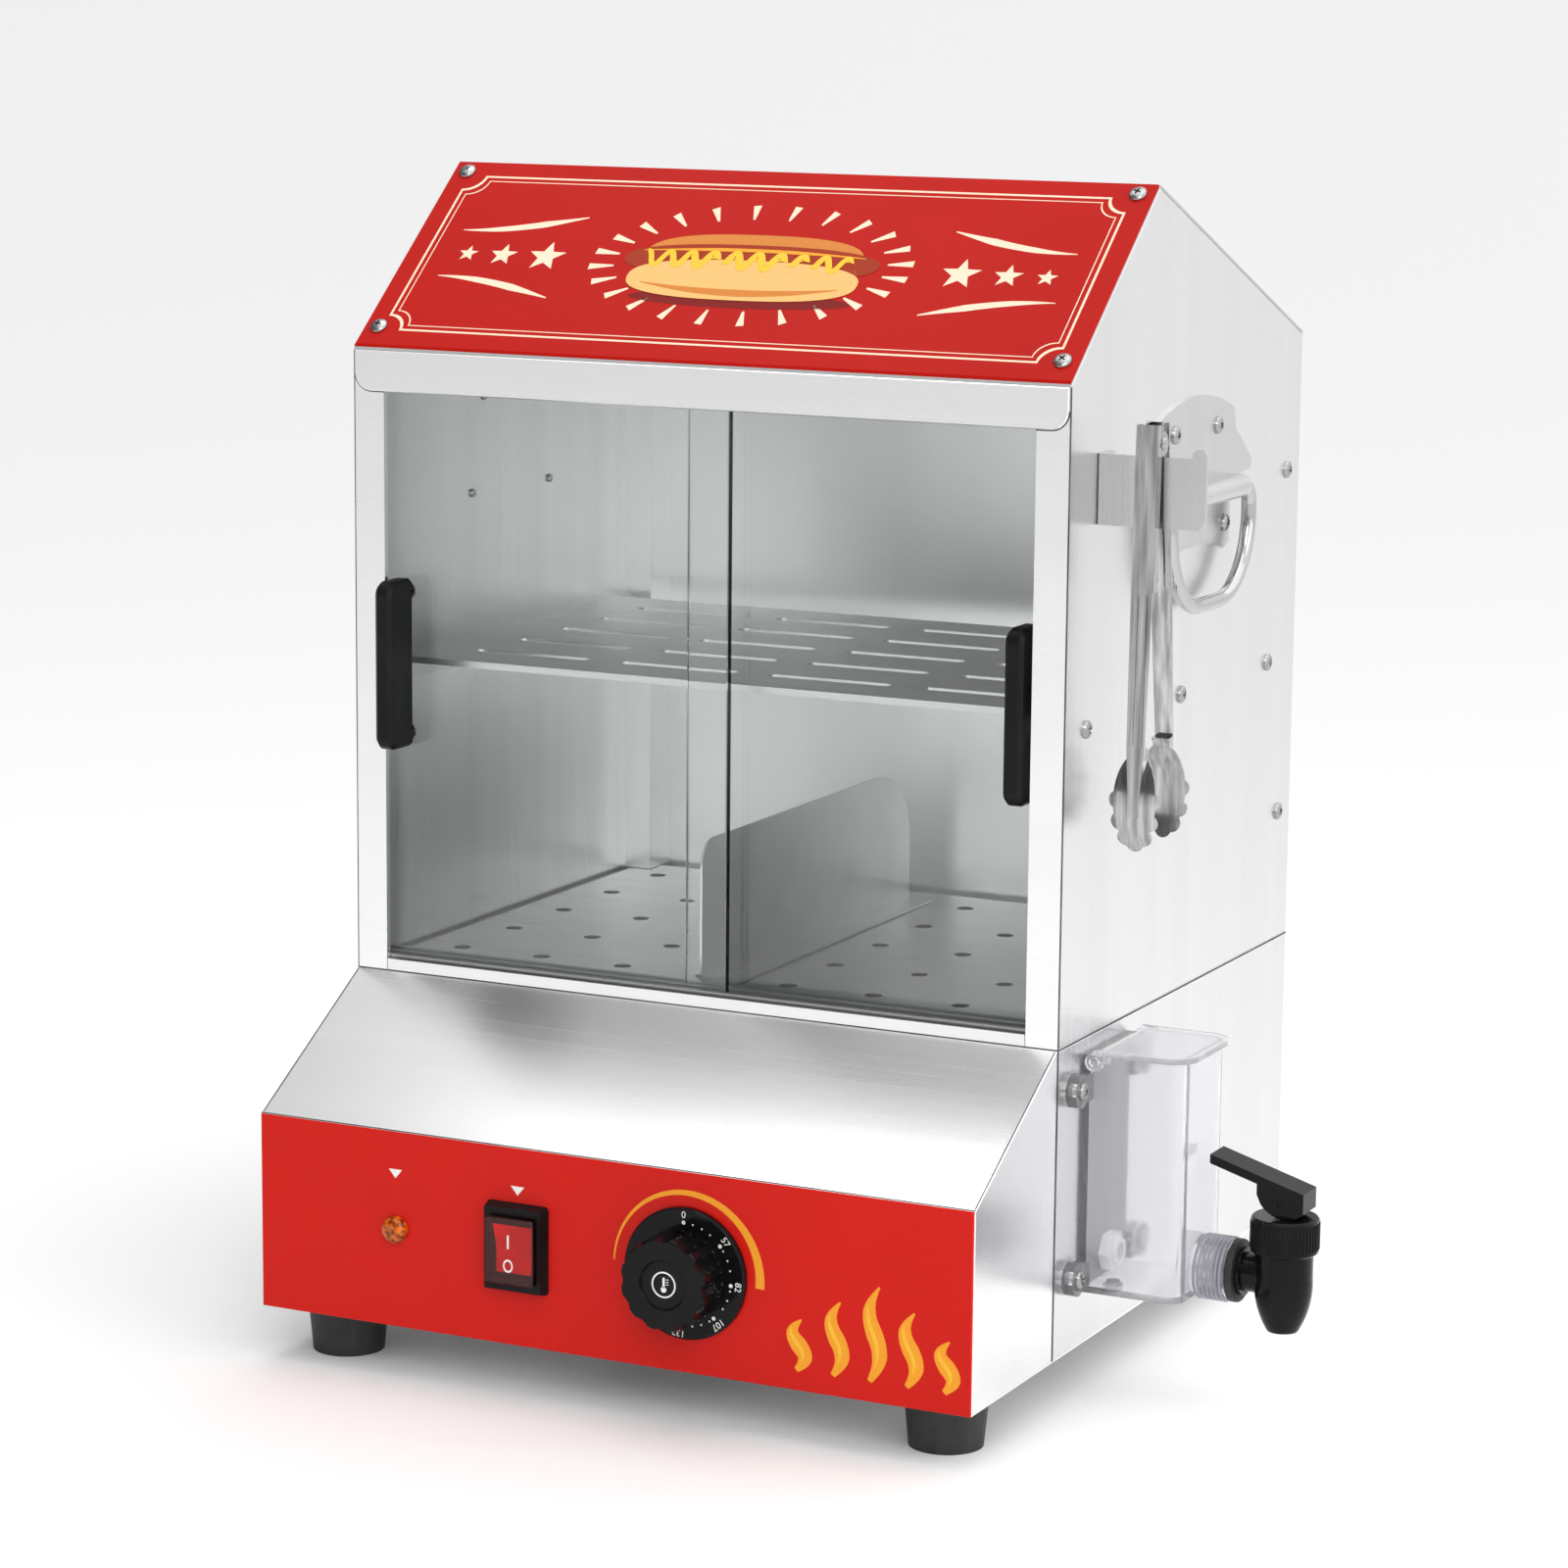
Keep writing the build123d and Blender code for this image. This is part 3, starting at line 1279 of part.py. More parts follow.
with BuildPart() as water_box:
    with BuildSketch(level(box_z)) as box_outline:
        with Locations((half_width + box_reach / 2, box_y)):
            Rectangle(box_reach, box_length)
        fillet(box_outline.vertices().group_by(Axis.X)[-1], box_corner_radius)
    extrude(amount=box_height)
    offset(amount=-box_wall, openings=water_box.faces().sort_by(Axis.Z)[-1])
    with BuildSketch(level(box_top_z - box_wall)):
        with Locations((half_width + ledge_depth / 2, box_y)):
            Rectangle(ledge_depth, box_length)
    extrude(amount=box_wall)
    with BuildSketch(facing_right(half_width)):
        with Locations(*ear_places):
            Circle(ear_radius)
        for side in (-1, 1):
            web_middle = box_y + side * (wall_half_length + ear_spacing_y / 2) / 2
            with Locations(*[(web_middle, z) for z in ear_heights]):
                Rectangle(ear_spacing_y / 2 - wall_half_length, 1.6 * ear_radius)
        with Locations(*ear_places):
            Circle(panel_screw_radius + hole_play, mode=Mode.SUBTRACT)
    extrude(amount=ear_depth)
    with BuildSketch(facing_right(box_outer_x)):
        with Locations((box_y, spigot_z)):
            Circle(spigot_radius)
    extrude(amount=spigot_length)
    with BuildSketch(facing_right(box_outer_x + spigot_length)):
        with Locations((box_y, spigot_z)):
            Circle(spigot_bore_radius)
    extrude(amount=-spigot_length - box_wall, mode=Mode.SUBTRACT)
    with BuildSketch(facing_right(half_width)):
        with Locations((inlet_y, inlet_z)):
            Circle(inlet_radius + hole_play)
    extrude(amount=box_wall, mode=Mode.SUBTRACT)
    with BuildSketch(level(box_z)):
        with Locations(plug_place):
            Circle(plug_radius + hole_play)
    extrude(amount=box_wall, mode=Mode.SUBTRACT)
    for side in (-1, 1):
        with BuildSketch(Plane(
            origin=(hinge_x, box_y + side * wall_half_length, hinge_z), z_dir=(0, side, 0)
        )):
            Circle(lid_pin_radius)
        extrude(amount=lid_overhang + 2 * face_gap)
water_box.part.label = "water_box"
export_step(water_box.part, "parts/water_box.step")

lid_z = box_top_z + face_gap
lid_start_x = half_width + ledge_depth + face_gap
lid_end_x = box_outer_x + lid_overhang
with BuildPart() as water_box_lid:
    with BuildSketch(level(lid_z)) as lid_outline:
        with Locations(((lid_start_x + lid_end_x) / 2, box_y)):
            Rectangle(lid_end_x - lid_start_x, box_length + 2 * lid_overhang)
        fillet(lid_outline.vertices().group_by(Axis.X)[-1], lid_corner_radius)
    extrude(amount=lid_thickness)
    for side in (-1, 1):
        knuckle_plane = Plane(
            origin=(hinge_x, box_y + side * (wall_half_length + face_gap), hinge_z),
            x_dir=(side, 0, 0),
            z_dir=(0, side, 0),
        )
        arm_rise = lid_z + lid_thickness - hinge_z
        with BuildSketch(knuckle_plane):
            Circle(lid_knuckle_radius)
            with Locations((side * 0.9 * lid_knuckle_radius, -arm_rise / 2)):
                Rectangle(1.8 * lid_knuckle_radius, arm_rise)
            Circle(lid_pin_radius + running_play, mode=Mode.SUBTRACT)
        extrude(amount=lid_overhang - face_gap)
water_box_lid.part.label = "water_box_lid"
export_step(water_box_lid.part, "parts/water_box_lid.step")

with BuildPart() as inlet_fitting:
    with BuildSketch(facing_right(pan_width / 2 - sheet - nut_height)):
        with Locations((inlet_y, inlet_z)):
            Circle(inlet_radius)
    extrude(amount=half_width + box_wall + 2 * nut_height + 2 - pan_width / 2 + sheet)
    with BuildSketch(facing_right(pan_width / 2 - sheet)):
        with Locations((inlet_y, inlet_z)):
            RegularPolygon(inlet_nut_radius, 6)
    extrude(amount=-nut_height)
    with BuildSketch(facing_right(half_width + box_wall)):
        with Locations((inlet_y, inlet_z)):
            RegularPolygon(inlet_nut_radius, 6)
    extrude(amount=nut_height)
    with BuildSketch(facing_right(half_width + box_reach)):
        with Locations((inlet_y, inlet_z)):
            Circle(inlet_bore_radius)
    extrude(amount=-half_width, mode=Mode.SUBTRACT)
inlet_fitting.part.label = "inlet_fitting"
export_step(inlet_fitting.part, "parts/inlet_fitting.step")

with BuildPart() as drain_plug:
    with BuildSketch(level(box_z)):
        with Locations(plug_place):
            Circle(1.5 * plug_radius)
    extrude(amount=-plug_radius, taper=10)
    with BuildSketch(level(box_z)):
        with Locations(plug_place):
            Circle(plug_radius)
    extrude(amount=box_wall + sheet)
drain_plug.part.label = "drain_plug"
export_step(drain_plug.part, "parts/drain_plug.step")

# %% Drain tap: gasket, body, knurled collar, valve stem and paddle lever
gasket_x = box_outer_x + spigot_length
tap_seat_x = gasket_x + gasket_thickness
tap_x = tap_seat_x + tap_standout
tip_z = spigot_z - barrel_drop
valve_seat_z = tip_z + spout_bore_length
pin_z = spigot_z + lever_pin_height
lever_heel_radius = 6.9
collar_top_z = pin_z - lever_heel_radius - face_gap
collar_roof = 3.0
barrel_top_z = collar_top_z - collar_roof - face_gap
shank_radius = spigot_bore_radius - face_gap
shank_length = 6.0

with BuildPart() as tap_gasket:
    with BuildSketch(facing_right(gasket_x)):
        with Locations((box_y, spigot_z)):
            Circle(spigot_radius)
            Circle(shank_radius + hole_play, mode=Mode.SUBTRACT)
    extrude(amount=gasket_thickness)
    fillet(tap_gasket.edges().filter_by(GeomType.CIRCLE).sort_by(SortBy.RADIUS)[-2:], 0.8)
tap_gasket.part.label = "tap_gasket"
export_step(tap_gasket.part, "parts/tap_gasket.step")

with BuildPart() as tap_body:
    with BuildSketch(Plane(origin=(tap_x, box_y, 0), x_dir=(1, 0, 0), z_dir=(0, -1, 0))):
        with BuildLine():
            Polyline((0, barrel_top_z), (0, tip_z), (barrel_tip_radius, tip_z))
            ThreePointArc(
                (barrel_tip_radius, tip_z),
                (0.5 * (barrel_tip_radius + barrel_radius) + 1.2, tip_z + 0.38 * barrel_drop),
                (barrel_radius, spigot_z),
            )
            Polyline((barrel_radius, spigot_z), (barrel_radius, barrel_top_z), (0, barrel_top_z))
        make_face()
    revolve(axis=Axis((tap_x, box_y, 0), (0, 0, 1)))
    with BuildSketch(facing_right(tap_seat_x - gasket_thickness - shank_length)):
        with Locations((box_y, spigot_z)):
            Circle(shank_radius)
    extrude(amount=gasket_thickness + shank_length)
    with BuildSketch(facing_right(tap_seat_x)):
        with Locations((box_y, spigot_z)):
            Circle(neck_radius + 2)
    extrude(amount=2)
    with BuildSketch(facing_right(tap_seat_x)):
        with Locations((box_y, spigot_z)):
            Circle(neck_radius)
    extrude(amount=tap_standout)
    with BuildSketch(level(tip_z)):
        with Locations((tap_x, box_y)):
            Circle(spout_bore_radius)
    extrude(amount=spout_bore_length, mode=Mode.SUBTRACT)
    with BuildSketch(level(valve_seat_z)):
        with Locations((tap_x, box_y)):
            Circle(chamber_radius)
    extrude(amount=barrel_top_z - valve_seat_z, mode=Mode.SUBTRACT)
    with BuildSketch(facing_right(tap_seat_x - gasket_thickness - shank_length)):
        with Locations((box_y, spigot_z)):
            Circle(inlet_radius)
    extrude(amount=tap_standout + gasket_thickness + shank_length - 1, mode=Mode.SUBTRACT)
tap_body.part.label = "tap_body"
export_step(tap_body.part, "parts/tap_body.step")

with BuildPart() as tap_collar:
    with BuildSketch(level(collar_top_z - collar_height)):
        with Locations((tap_x, box_y)):
            Circle(collar_radius)
    extrude(amount=collar_height)
    chamfer(tap_collar.edges(), 0.8)
    with BuildSketch(level(collar_top_z - collar_height)):
        with Locations((tap_x, box_y)):
            Circle(barrel_radius + face_gap)
    extrude(amount=collar_height - collar_roof, mode=Mode.SUBTRACT)
    with BuildSketch(level(collar_top_z - collar_roof)):
        with Locations((tap_x, box_y)):
            Circle(stem_radius + hole_play)
    extrude(amount=collar_roof, mode=Mode.SUBTRACT)
tap_collar.part.label = "tap_collar"
export_step(tap_collar.part, "parts/tap_collar.step")

with BuildPart() as tap_stem:
    with BuildSketch(level(valve_seat_z + face_gap)):
        with Locations((tap_x, box_y)):
            Circle(0.8 * chamber_radius)
    extrude(amount=2 * stem_radius)
    with BuildSketch(level(valve_seat_z + face_gap)):
        with Locations((tap_x, box_y)):
            Circle(stem_radius)
    extrude(amount=pin_z + stem_radius - valve_seat_z - face_gap)
    with BuildSketch(facing_front(box_y)):
        with Locations((tap_x, pin_z)):
            Circle(lever_pin_radius)
    extrude(amount=lever_width / 2 - 0.5, both=True)
tap_stem.part.label = "tap_stem"
export_step(tap_stem.part, "parts/tap_stem.step")

lever_rear = 10.7
lever_crest = 5.0
lever_tip_rise = lever_crest + (lever_length + lever_rear) * math.tan(math.radians(lever_slope))
lever_neck = 10.5
neck_rise = lever_crest + (lever_neck + lever_rear) * math.tan(math.radians(lever_slope))
with BuildPart() as tap_lever:
    with BuildSketch(Plane(origin=(tap_x, box_y, pin_z), x_dir=(1, 0, 0), z_dir=(0, -1, 0))):
        with BuildLine():
            ThreePointArc(
                (lever_rear, -0.55 * lever_heel_radius),
                (0.15 * lever_heel_radius, -lever_heel_radius),
                (-1.25 * lever_heel_radius, -0.2 * lever_heel_radius),
            )
            Polyline(
                (-1.25 * lever_heel_radius, -0.2 * lever_heel_radius),
                (-lever_neck, 0.4 * lever_heel_radius),
                (-lever_neck, neck_rise - lever_thickness),
                (-lever_length, lever_tip_rise - lever_thickness),
                (-lever_length, lever_tip_rise),
                (lever_rear, lever_crest),
                (lever_rear, -0.55 * lever_heel_radius),
            )
        make_face()
    extrude(amount=lever_width / 2, both=True)
    with BuildSketch(level(pin_z - lever_heel_radius - 1)):
        with Locations((tap_x, box_y)):
            Rectangle(4.6 * stem_radius, 2 * (stem_radius + seat_play))
    extrude(amount=lever_heel_radius + 1 + 1.6 * stem_radius, mode=Mode.SUBTRACT)
    with BuildSketch(facing_front(box_y)):
        with Locations((tap_x, pin_z)):
            Circle(lever_pin_radius + running_play)
    extrude(amount=lever_width, both=True, mode=Mode.SUBTRACT)
tap_lever.part.label = "tap_lever"
export_step(tap_lever.part, "parts/tap_lever.step")

# %% Panel screws: side panels, handles, tongs bracket, ears of the water box, and sign
side_screw_seats = [
    (side, y, z, 0.0) for side in (-1, 1) for y, z in side_screw_places
] + [
    (side, y, z, handle_plate_thickness) for side in (-1, 1) for y, z in handle_screw_places
] + [
    (1, y, z, bracket_thickness) for y, z in bracket_screw_places
] + [
    (1, y, z, ear_depth) for y, z in ear_places
]
screw_planes = [
    (Plane(origin=(side * (half_width + held), y, z), z_dir=(side, 0, 0)), held)
    for side, y, z, held in side_screw_seats
] + [
    (sign_plane, sign_grip) for sign_plane in sign_screw_planes
]
with BuildPart() as panel_screws:
    for screw_plane, held in screw_planes:
        with BuildSketch(screw_plane):
            Circle(panel_screw_head_radius)
        extrude(amount=panel_screw_head_height, taper=35)
        with BuildSketch(screw_plane):
            Circle(panel_screw_radius)
        extrude(amount=-held - 3 * sheet)
panel_screws.part.label = "panel_screws"
export_step(panel_screws.part, "parts/panel_screws.step")
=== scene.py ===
# %% [markdown]
# A counter-top hot dog steamer: a stainless cabinet with two sliding glass doors, a sloping control box,
# a clear water box with a drain tap, and tongs that hang on the side. The construction comes as a fixed
# frame, at its real size and place. This lesson dresses it: finishes for every surface, and the small
# pieces that a maker adds last, such as screw heads, printed marks, a thread and a knurl.

# %% Load the frame
import math

import bmesh
import bpy
from mathutils import Matrix, Vector
from mathutils.bvhtree import BVHTree


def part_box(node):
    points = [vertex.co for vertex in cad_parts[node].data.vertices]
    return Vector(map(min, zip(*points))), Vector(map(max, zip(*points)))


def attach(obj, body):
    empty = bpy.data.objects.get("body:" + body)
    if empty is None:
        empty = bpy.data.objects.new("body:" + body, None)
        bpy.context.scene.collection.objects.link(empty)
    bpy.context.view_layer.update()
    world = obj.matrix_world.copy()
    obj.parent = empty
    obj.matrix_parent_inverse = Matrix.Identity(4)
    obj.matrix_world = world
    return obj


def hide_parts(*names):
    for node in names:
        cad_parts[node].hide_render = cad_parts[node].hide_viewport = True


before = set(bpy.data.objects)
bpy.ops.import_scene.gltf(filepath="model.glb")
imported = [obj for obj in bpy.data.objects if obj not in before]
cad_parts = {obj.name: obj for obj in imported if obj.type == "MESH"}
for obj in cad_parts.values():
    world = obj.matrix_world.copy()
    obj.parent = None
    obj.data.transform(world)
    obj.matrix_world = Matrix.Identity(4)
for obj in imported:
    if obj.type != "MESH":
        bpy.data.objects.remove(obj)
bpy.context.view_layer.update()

MM = 0.001

# %% [markdown]
# The camera comes first, because everything else is judged through it. A long lens far away keeps the
# upright edges nearly parallel, as in a catalogue picture.

# %% Camera at the photograph's angle
CAMERA_PLACE = (0.9163, -1.8672, 0.6203)
CAMERA_DEGREES = (79.80, -0.526, 26.358)
FOCAL_LENGTH = 106.9


def piece_from(data, name):
    """An object at the origin that holds a mesh, a curve, a lamp or a camera."""
    piece = bpy.data.objects.new(name, data)
    bpy.context.scene.collection.objects.link(piece)
    return piece


camera_data = bpy.data.cameras.new("catalogue_camera")
camera_data.sensor_width = 36.0
camera_data.lens = FOCAL_LENGTH
camera_data.clip_end = 500.0
camera = piece_from(camera_data, "catalogue_camera")
camera.location = CAMERA_PLACE
camera.rotation_euler = [math.radians(angle) for angle in CAMERA_DEGREES]
bpy.context.scene.camera = camera
print("lens:", FOCAL_LENGTH, "mm")

# %% [markdown]
# The room's light, every finish and the copied pieces are all node trees. A tree could be typed out
# node by node and link by link, but then its few real numbers drown. One helper adds a node, sets it up
# and feeds its sockets, so that a tree reads from its source to its result.

# %% Helpers for node trees
def node(tree, kind, sockets=None, **settings):
    """A new node with its settings; sockets gives inputs a value, or another socket to link from."""
    made = tree.nodes.new(kind)
    for label, value in settings.items():
        setattr(made, label, value)
    for label, value in (sockets or {}).items():
        if isinstance(value, bpy.types.NodeSocket):
            tree.links.new(value, made.inputs[label])
        else:
            made.inputs[label].default_value = value
    return made


def spread(owner, source, low, high, from_low=0.3, from_high=0.7):
    """Source's range from_low to from_high, spread over low to high."""
    ends = {"From Min": from_low, "From Max": from_high, "To Min": low, "To Max": high}
    return node(owner.node_tree, "ShaderNodeMapRange", {"Value": source, **ends}).outputs["Result"]


# %% [markdown]
# A studio for shiny steel is mostly what the steel mirrors: a pale room that fades to one side, and a
# few wide soft lamps. The fade is a gradient on the world, so that flat sheets get a gentle fall-off.
# The camera itself sees an even pale room, so that no horizon stands behind the machine.

# %% A pale room
ROOM_BRIGHT = 1.27
ROOM_DIM = 0.16
ROOM_SEEN = 0.88
FADE_START = -0.20
FADE_END = 0.80
BRIGHT_WAY = Vector((0.70, 0.20, 0.68)).normalized()

world = bpy.data.worlds.new("pale_room")
world.use_nodes = True
bpy.context.scene.world = world
bpy.context.scene.view_settings.view_transform = "Standard"
room = world.node_tree
look = node(room, "ShaderNodeTexCoord").outputs["Generated"]
towards = node(room, "ShaderNodeVectorMath", {0: look, 1: BRIGHT_WAY}, operation="DOT_PRODUCT")
fade = spread(world, towards.outputs["Value"], ROOM_DIM, ROOM_BRIGHT, FADE_START, FADE_END)
fade.node.interpolation_type = "SMOOTHSTEP"
by_camera = node(room, "ShaderNodeLightPath").outputs["Is Camera Ray"]
room_light = node(room, "ShaderNodeMix", {"Factor": by_camera, "A": fade, "B": ROOM_SEEN})
room.links.new(room_light.outputs["Result"], room.nodes["Background"].inputs["Color"])
print("room light:", ROOM_DIM, "to", ROOM_BRIGHT)

# %% [markdown]
# A small lamp would put a hard spark on every bend of the sheet. These lamps are wide, like the cloth
# boxes in a studio, and a very wide sun fills in from above so that no shadow goes black.

# %% Soft lamps
SOFT_LAMPS = (  # name, place, aim, width in metres, watts
    ("front_lamp", (0.8, -2.0, 1.5), (0, 0, 0.25), 1.2, 14),
    ("side_lamp", (2.2, -0.6, 1.1), (0, 0, 0.25), 1.4, 5),
    ("top_lamp", (0.1, -0.3, 2.2), (0, 0, 0.2), 1.6, 8),
    ("slope_lamp", (-0.36, 0.03, 1.20), (0.15, -0.14, 0.14), 0.45, 0.9),
)
SUN_WAY = (-0.35, -0.45, -0.82)
SUN_WIDTH = math.radians(70)
SUN_STRENGTH = 0.5


def lamp(name, kind, strength, place, way, **shape):
    """A lamp at place that shines along way; shape is its size or its angle."""
    data = bpy.data.lights.new(name, kind)
    data.energy = strength
    for label, value in shape.items():
        setattr(data, label, value)
    holder = piece_from(data, name)
    holder.location = place
    holder.rotation_euler = Vector(way).to_track_quat("-Z", "Y").to_euler()


lamp("even_light", "SUN", SUN_STRENGTH, (0, 0, 0), SUN_WAY, angle=SUN_WIDTH)
for name, place, aim, width, watts in SOFT_LAMPS:
    lamp(name, "AREA", watts, place, Vector(aim) - Vector(place), size=width)
print("lamps:", 1 + len(SOFT_LAMPS))

# %% [markdown]
# Every finish is a small node tree on Object coordinates, so a pattern keeps its real scale in metres
# on all pieces. These helpers make the parts that the finishes share: a noise with its own stretch
# along each axis, a bump and a blend of two colours.

# %% Helpers for finishes
def finish(name, colour, values=None):
    """A new material of one Principled shader, with values for its named inputs."""
    made = bpy.data.materials.new(name)
    made.use_nodes = True
    inputs = made.node_tree.nodes["Principled BSDF"].inputs
    for label, value in {"Base Color": (*colour, 1), "Roughness": 0.5, **(values or {})}.items():
        inputs[label].default_value = value
    return made


def feed(made, label, source):
    """Links a source to an input of a finish's shader."""
    made.node_tree.links.new(source, made.node_tree.nodes["Principled BSDF"].inputs[label])


def noise(made, *per_metre, detail=2.0):
    """Noise with so many cycles a metre: one number, or one each along X, Y and Z."""
    tree = made.node_tree
    scale = per_metre if len(per_metre) == 3 else per_metre * 3
    place = node(tree, "ShaderNodeTexCoord").outputs["Object"]
    stretched = node(tree, "ShaderNodeMapping", {"Vector": place, "Scale": scale}).outputs["Vector"]
    grain = node(tree, "ShaderNodeTexNoise", {"Vector": stretched, "Scale": 1.0, "Detail": detail})
    return grain.outputs["Fac"]


def bump(made, source, depth):
    """Relief so deep, in metres, from source."""
    relief = node(made.node_tree, "ShaderNodeBump", {"Height": source, "Distance": depth})
    feed(made, "Normal", relief.outputs["Normal"])


def tint(made, source, first, second, from_low=0.3, from_high=0.7):
    """Base colour that runs from first to second over source's range."""
    share = spread(made, source, 0.0, 1.0, from_low, from_high)
    ends = {"Factor": share, "A": (*first, 1), "B": (*second, 1)}
    feed(made, "Base Color", node(made.node_tree, "ShaderNodeMix", ends, data_type="RGBA").outputs["Result"])


def dress(made, *names):
    """Gives CAD nodes their finish."""
    for name in names:
        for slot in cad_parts[name].material_slots:
            slot.material = made


# %% [markdown]
# The machine stands on a matt pale sweep that runs far past it, so its edge never shows. A plane with a
# faint bump is enough: only the soft shadow under the feet tells that it is there.

# %% Floor
FLOOR_WIDTH = 300

bpy.ops.mesh.primitive_plane_add(size=FLOOR_WIDTH)
floor = bpy.context.object
floor.name = "floor"
pale_floor = finish("pale_floor", (0.90, 0.90, 0.90), {"Roughness": 0.7})
bump(pale_floor, noise(pale_floor, 300), 0.00005)
floor.data.materials.append(pale_floor)
print("floor:", FLOOR_WIDTH, "m wide")

# %% [markdown]
# Stainless sheet is brushed one way at the mill. The fine scratches are a noise that is stretched along
# the grain and packed tight across it: it roughens the mirror image across the grain only. A second,
# slower noise gives the faint bands and finger marks of a wiped counter machine.

# %% Brushed stainless sheet
ALONG = 2.0  # cycles a metre
FINE = 1500.0  # cycles a metre
BAND = 45.0  # cycles a metre
SCRATCH_DEPTH = 0.0000006


def brushed(name, grain, pale, dark, smooth=0.25, dull=0.275, blue=(0.0, 0.005)):
    """Sheet with its grain along X or Z, between two greys, each so much bluer, and two roughnesses."""
    first, second = [(grey, grey, grey + more) for grey, more in zip((pale, dark), blue)]
    made = finish(name, first, {"Metallic": 1.0})
    fine = noise(made, *[ALONG if axis == grain else FINE for axis in "XYZ"], detail=3.0)
    band = noise(made, *[ALONG / 4 if axis == grain else BAND for axis in "XYZ"], detail=3.0)
    tint(made, band, first, second)
    feed(made, "Roughness", spread(made, fine, smooth, dull))
    bump(made, fine, SCRATCH_DEPTH)
    return made


upright_sheet = brushed("stainless_grain_upright", "Z", 0.78, 0.73)
level_sheet = brushed("stainless_grain_level", "X", 0.92, 0.89)
# The roof and the end walls of the base get a darker copy of the stainless: painted shade, so that the faces
# that the sun and the bright room light most do not wash out.
roof_sheet_painted_shade = brushed("stainless_roof_painted_shade", "X", 0.60, 0.565)
# The inside of the cabinet gets a lighter copy of the stainless: painted light that lifts the dim inside
# behind the glass.
inside_sheet_painted_light = brushed("stainless_inside_painted_light", "Z", 0.92, 0.89, 0.31, 0.34)
tray_sheet = brushed("stainless_trays", "X", 0.74, 0.68, 0.27, 0.31)
# The back panel takes the same lighter tone as painted light, and its outside is darkened below as painted
# shade.
back_sheet_painted_light_and_shade = brushed("stainless_back_painted_light_and_shade", "Z", 0.92, 0.89, 0.31, 0.34)
plate_sheet = brushed("stainless_plates", "Z", 0.62, 0.58, 0.24, 0.28)
track_sheet = brushed("drawn_aluminium", "X", 0.55, 0.47, 0.32, 0.48, blue=(0.01, 0.01))

dress(upright_sheet, "left_side_panel", "right_side_panel", "base_side_walls")
dress(level_sheet, "control_box", "front_header", "door_stiles")
dress(roof_sheet_painted_shade, "roof_panel", "base_end_walls")
dress(back_sheet_painted_light_and_shade, "back_panel")
dress(plate_sheet, "tongs_bracket", "handle_plates")
dress(inside_sheet_painted_light, "corner_channels", "bottom_plate", "water_pan", "base_deck")
dress(tray_sheet, "bun_shelf", "divider", "steam_rack")
dress(track_sheet, "lower_track", "upper_track")
print("grain:", FINE, "scratches a metre")

# %% [markdown]
# The back panel is one sheet with two tones: the lighter copy of the stainless where it shows through the
# doors, as painted light, and darker outside, as painted shade. Two materials would need the mesh to be
# split, so the finish itself compares its place with the middle of the sheet and multiplies the colour
# down beyond it, which keeps the grain.

# %% Painted shade on the outside of the back
BACK_PAINTED_SHADE = 0.66


def duller_behind(made, plane, share):
    """Darkens a sheet beyond a plane square to Y, as painted shade."""
    tree = made.node_tree
    banded_colour_painted_light = tree.nodes["Principled BSDF"].inputs["Base Color"].links[0].from_socket
    place = node(tree, "ShaderNodeTexCoord").outputs["Object"]
    depth = node(tree, "ShaderNodeSeparateXYZ", {"Vector": place}).outputs["Y"]
    beyond = node(tree, "ShaderNodeMath", {0: depth, 1: plane}, operation="GREATER_THAN").outputs[0]
    ends = {"Factor": beyond, "A": banded_colour_painted_light, "B": (share, share, share, 1)}
    outside = node(tree, "ShaderNodeMix", ends, data_type="RGBA", blend_type="MULTIPLY")
    feed(made, "Base Color", outside.outputs["Result"])


back_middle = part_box("back_panel")[1].y - MM / 2
duller_behind(back_sheet_painted_light_and_shade, back_middle, BACK_PAINTED_SHADE)
print("duller beyond y:", round(back_middle / MM, 1), "mm")

# %% [markdown]
# Bright pieces are smoother: the carry handles are plated, the tongs are polished by tumbling, which
# leaves a soft ripple, and the screws are zinc plated. The heater is blued by heat, and the bulb of the
# thermostat is bare copper. One noise drives the colour, the gloss and the ripple of each, because on a
# real piece a rubbed place is brighter and smoother at once. On the tongs the colour also falls to a
# much darker grey in upright streaks: painted dark reflections.

# %% Bright metals
RIPPLE_DEPTH = 0.000003


def bright(name, pale, dark, per_metre, smooth, dull, depth=0.0, detail=2.0):
    """Bare or plated metal between two colours and two roughnesses."""
    made = finish(name, pale, {"Metallic": 1.0})
    marks = noise(made, *per_metre, detail=detail)
    tint(made, marks, pale, dark)
    feed(made, "Roughness", spread(made, marks, smooth, dull))
    if depth:
        bump(made, marks, depth)
    return made


PLATE_GREY = (0.50, 0.50, 0.50)
ZINC_GREY = (0.38, 0.38, 0.375)
plated = bright("bright_plate", PLATE_GREY, PLATE_GREY, [260], 0.06, 0.13, RIPPLE_DEPTH, 4.0)
# The tongs' dark grey end and upright streaks are painted dark reflections; the spring and the rivet share
# them.
tongs_streaks_and_painted_reflections = (420, 420, 14)
polished = bright(
    "tumbled_steel_painted_reflections", (0.58, 0.58, 0.575), (0.27, 0.27, 0.27), tongs_streaks_and_painted_reflections, 0.10, 0.18, RIPPLE_DEPTH
)
zinc = bright("zinc_plate", ZINC_GREY, ZINC_GREY, [900], 0.18, 0.36)
heated = bright("blued_sheath", (0.30, 0.26, 0.22), (0.12, 0.12, 0.15), [25], 0.4, 0.4)
copper = bright("copper_tube", (0.85, 0.45, 0.28), (0.55, 0.26, 0.16), [90], 0.3, 0.3)

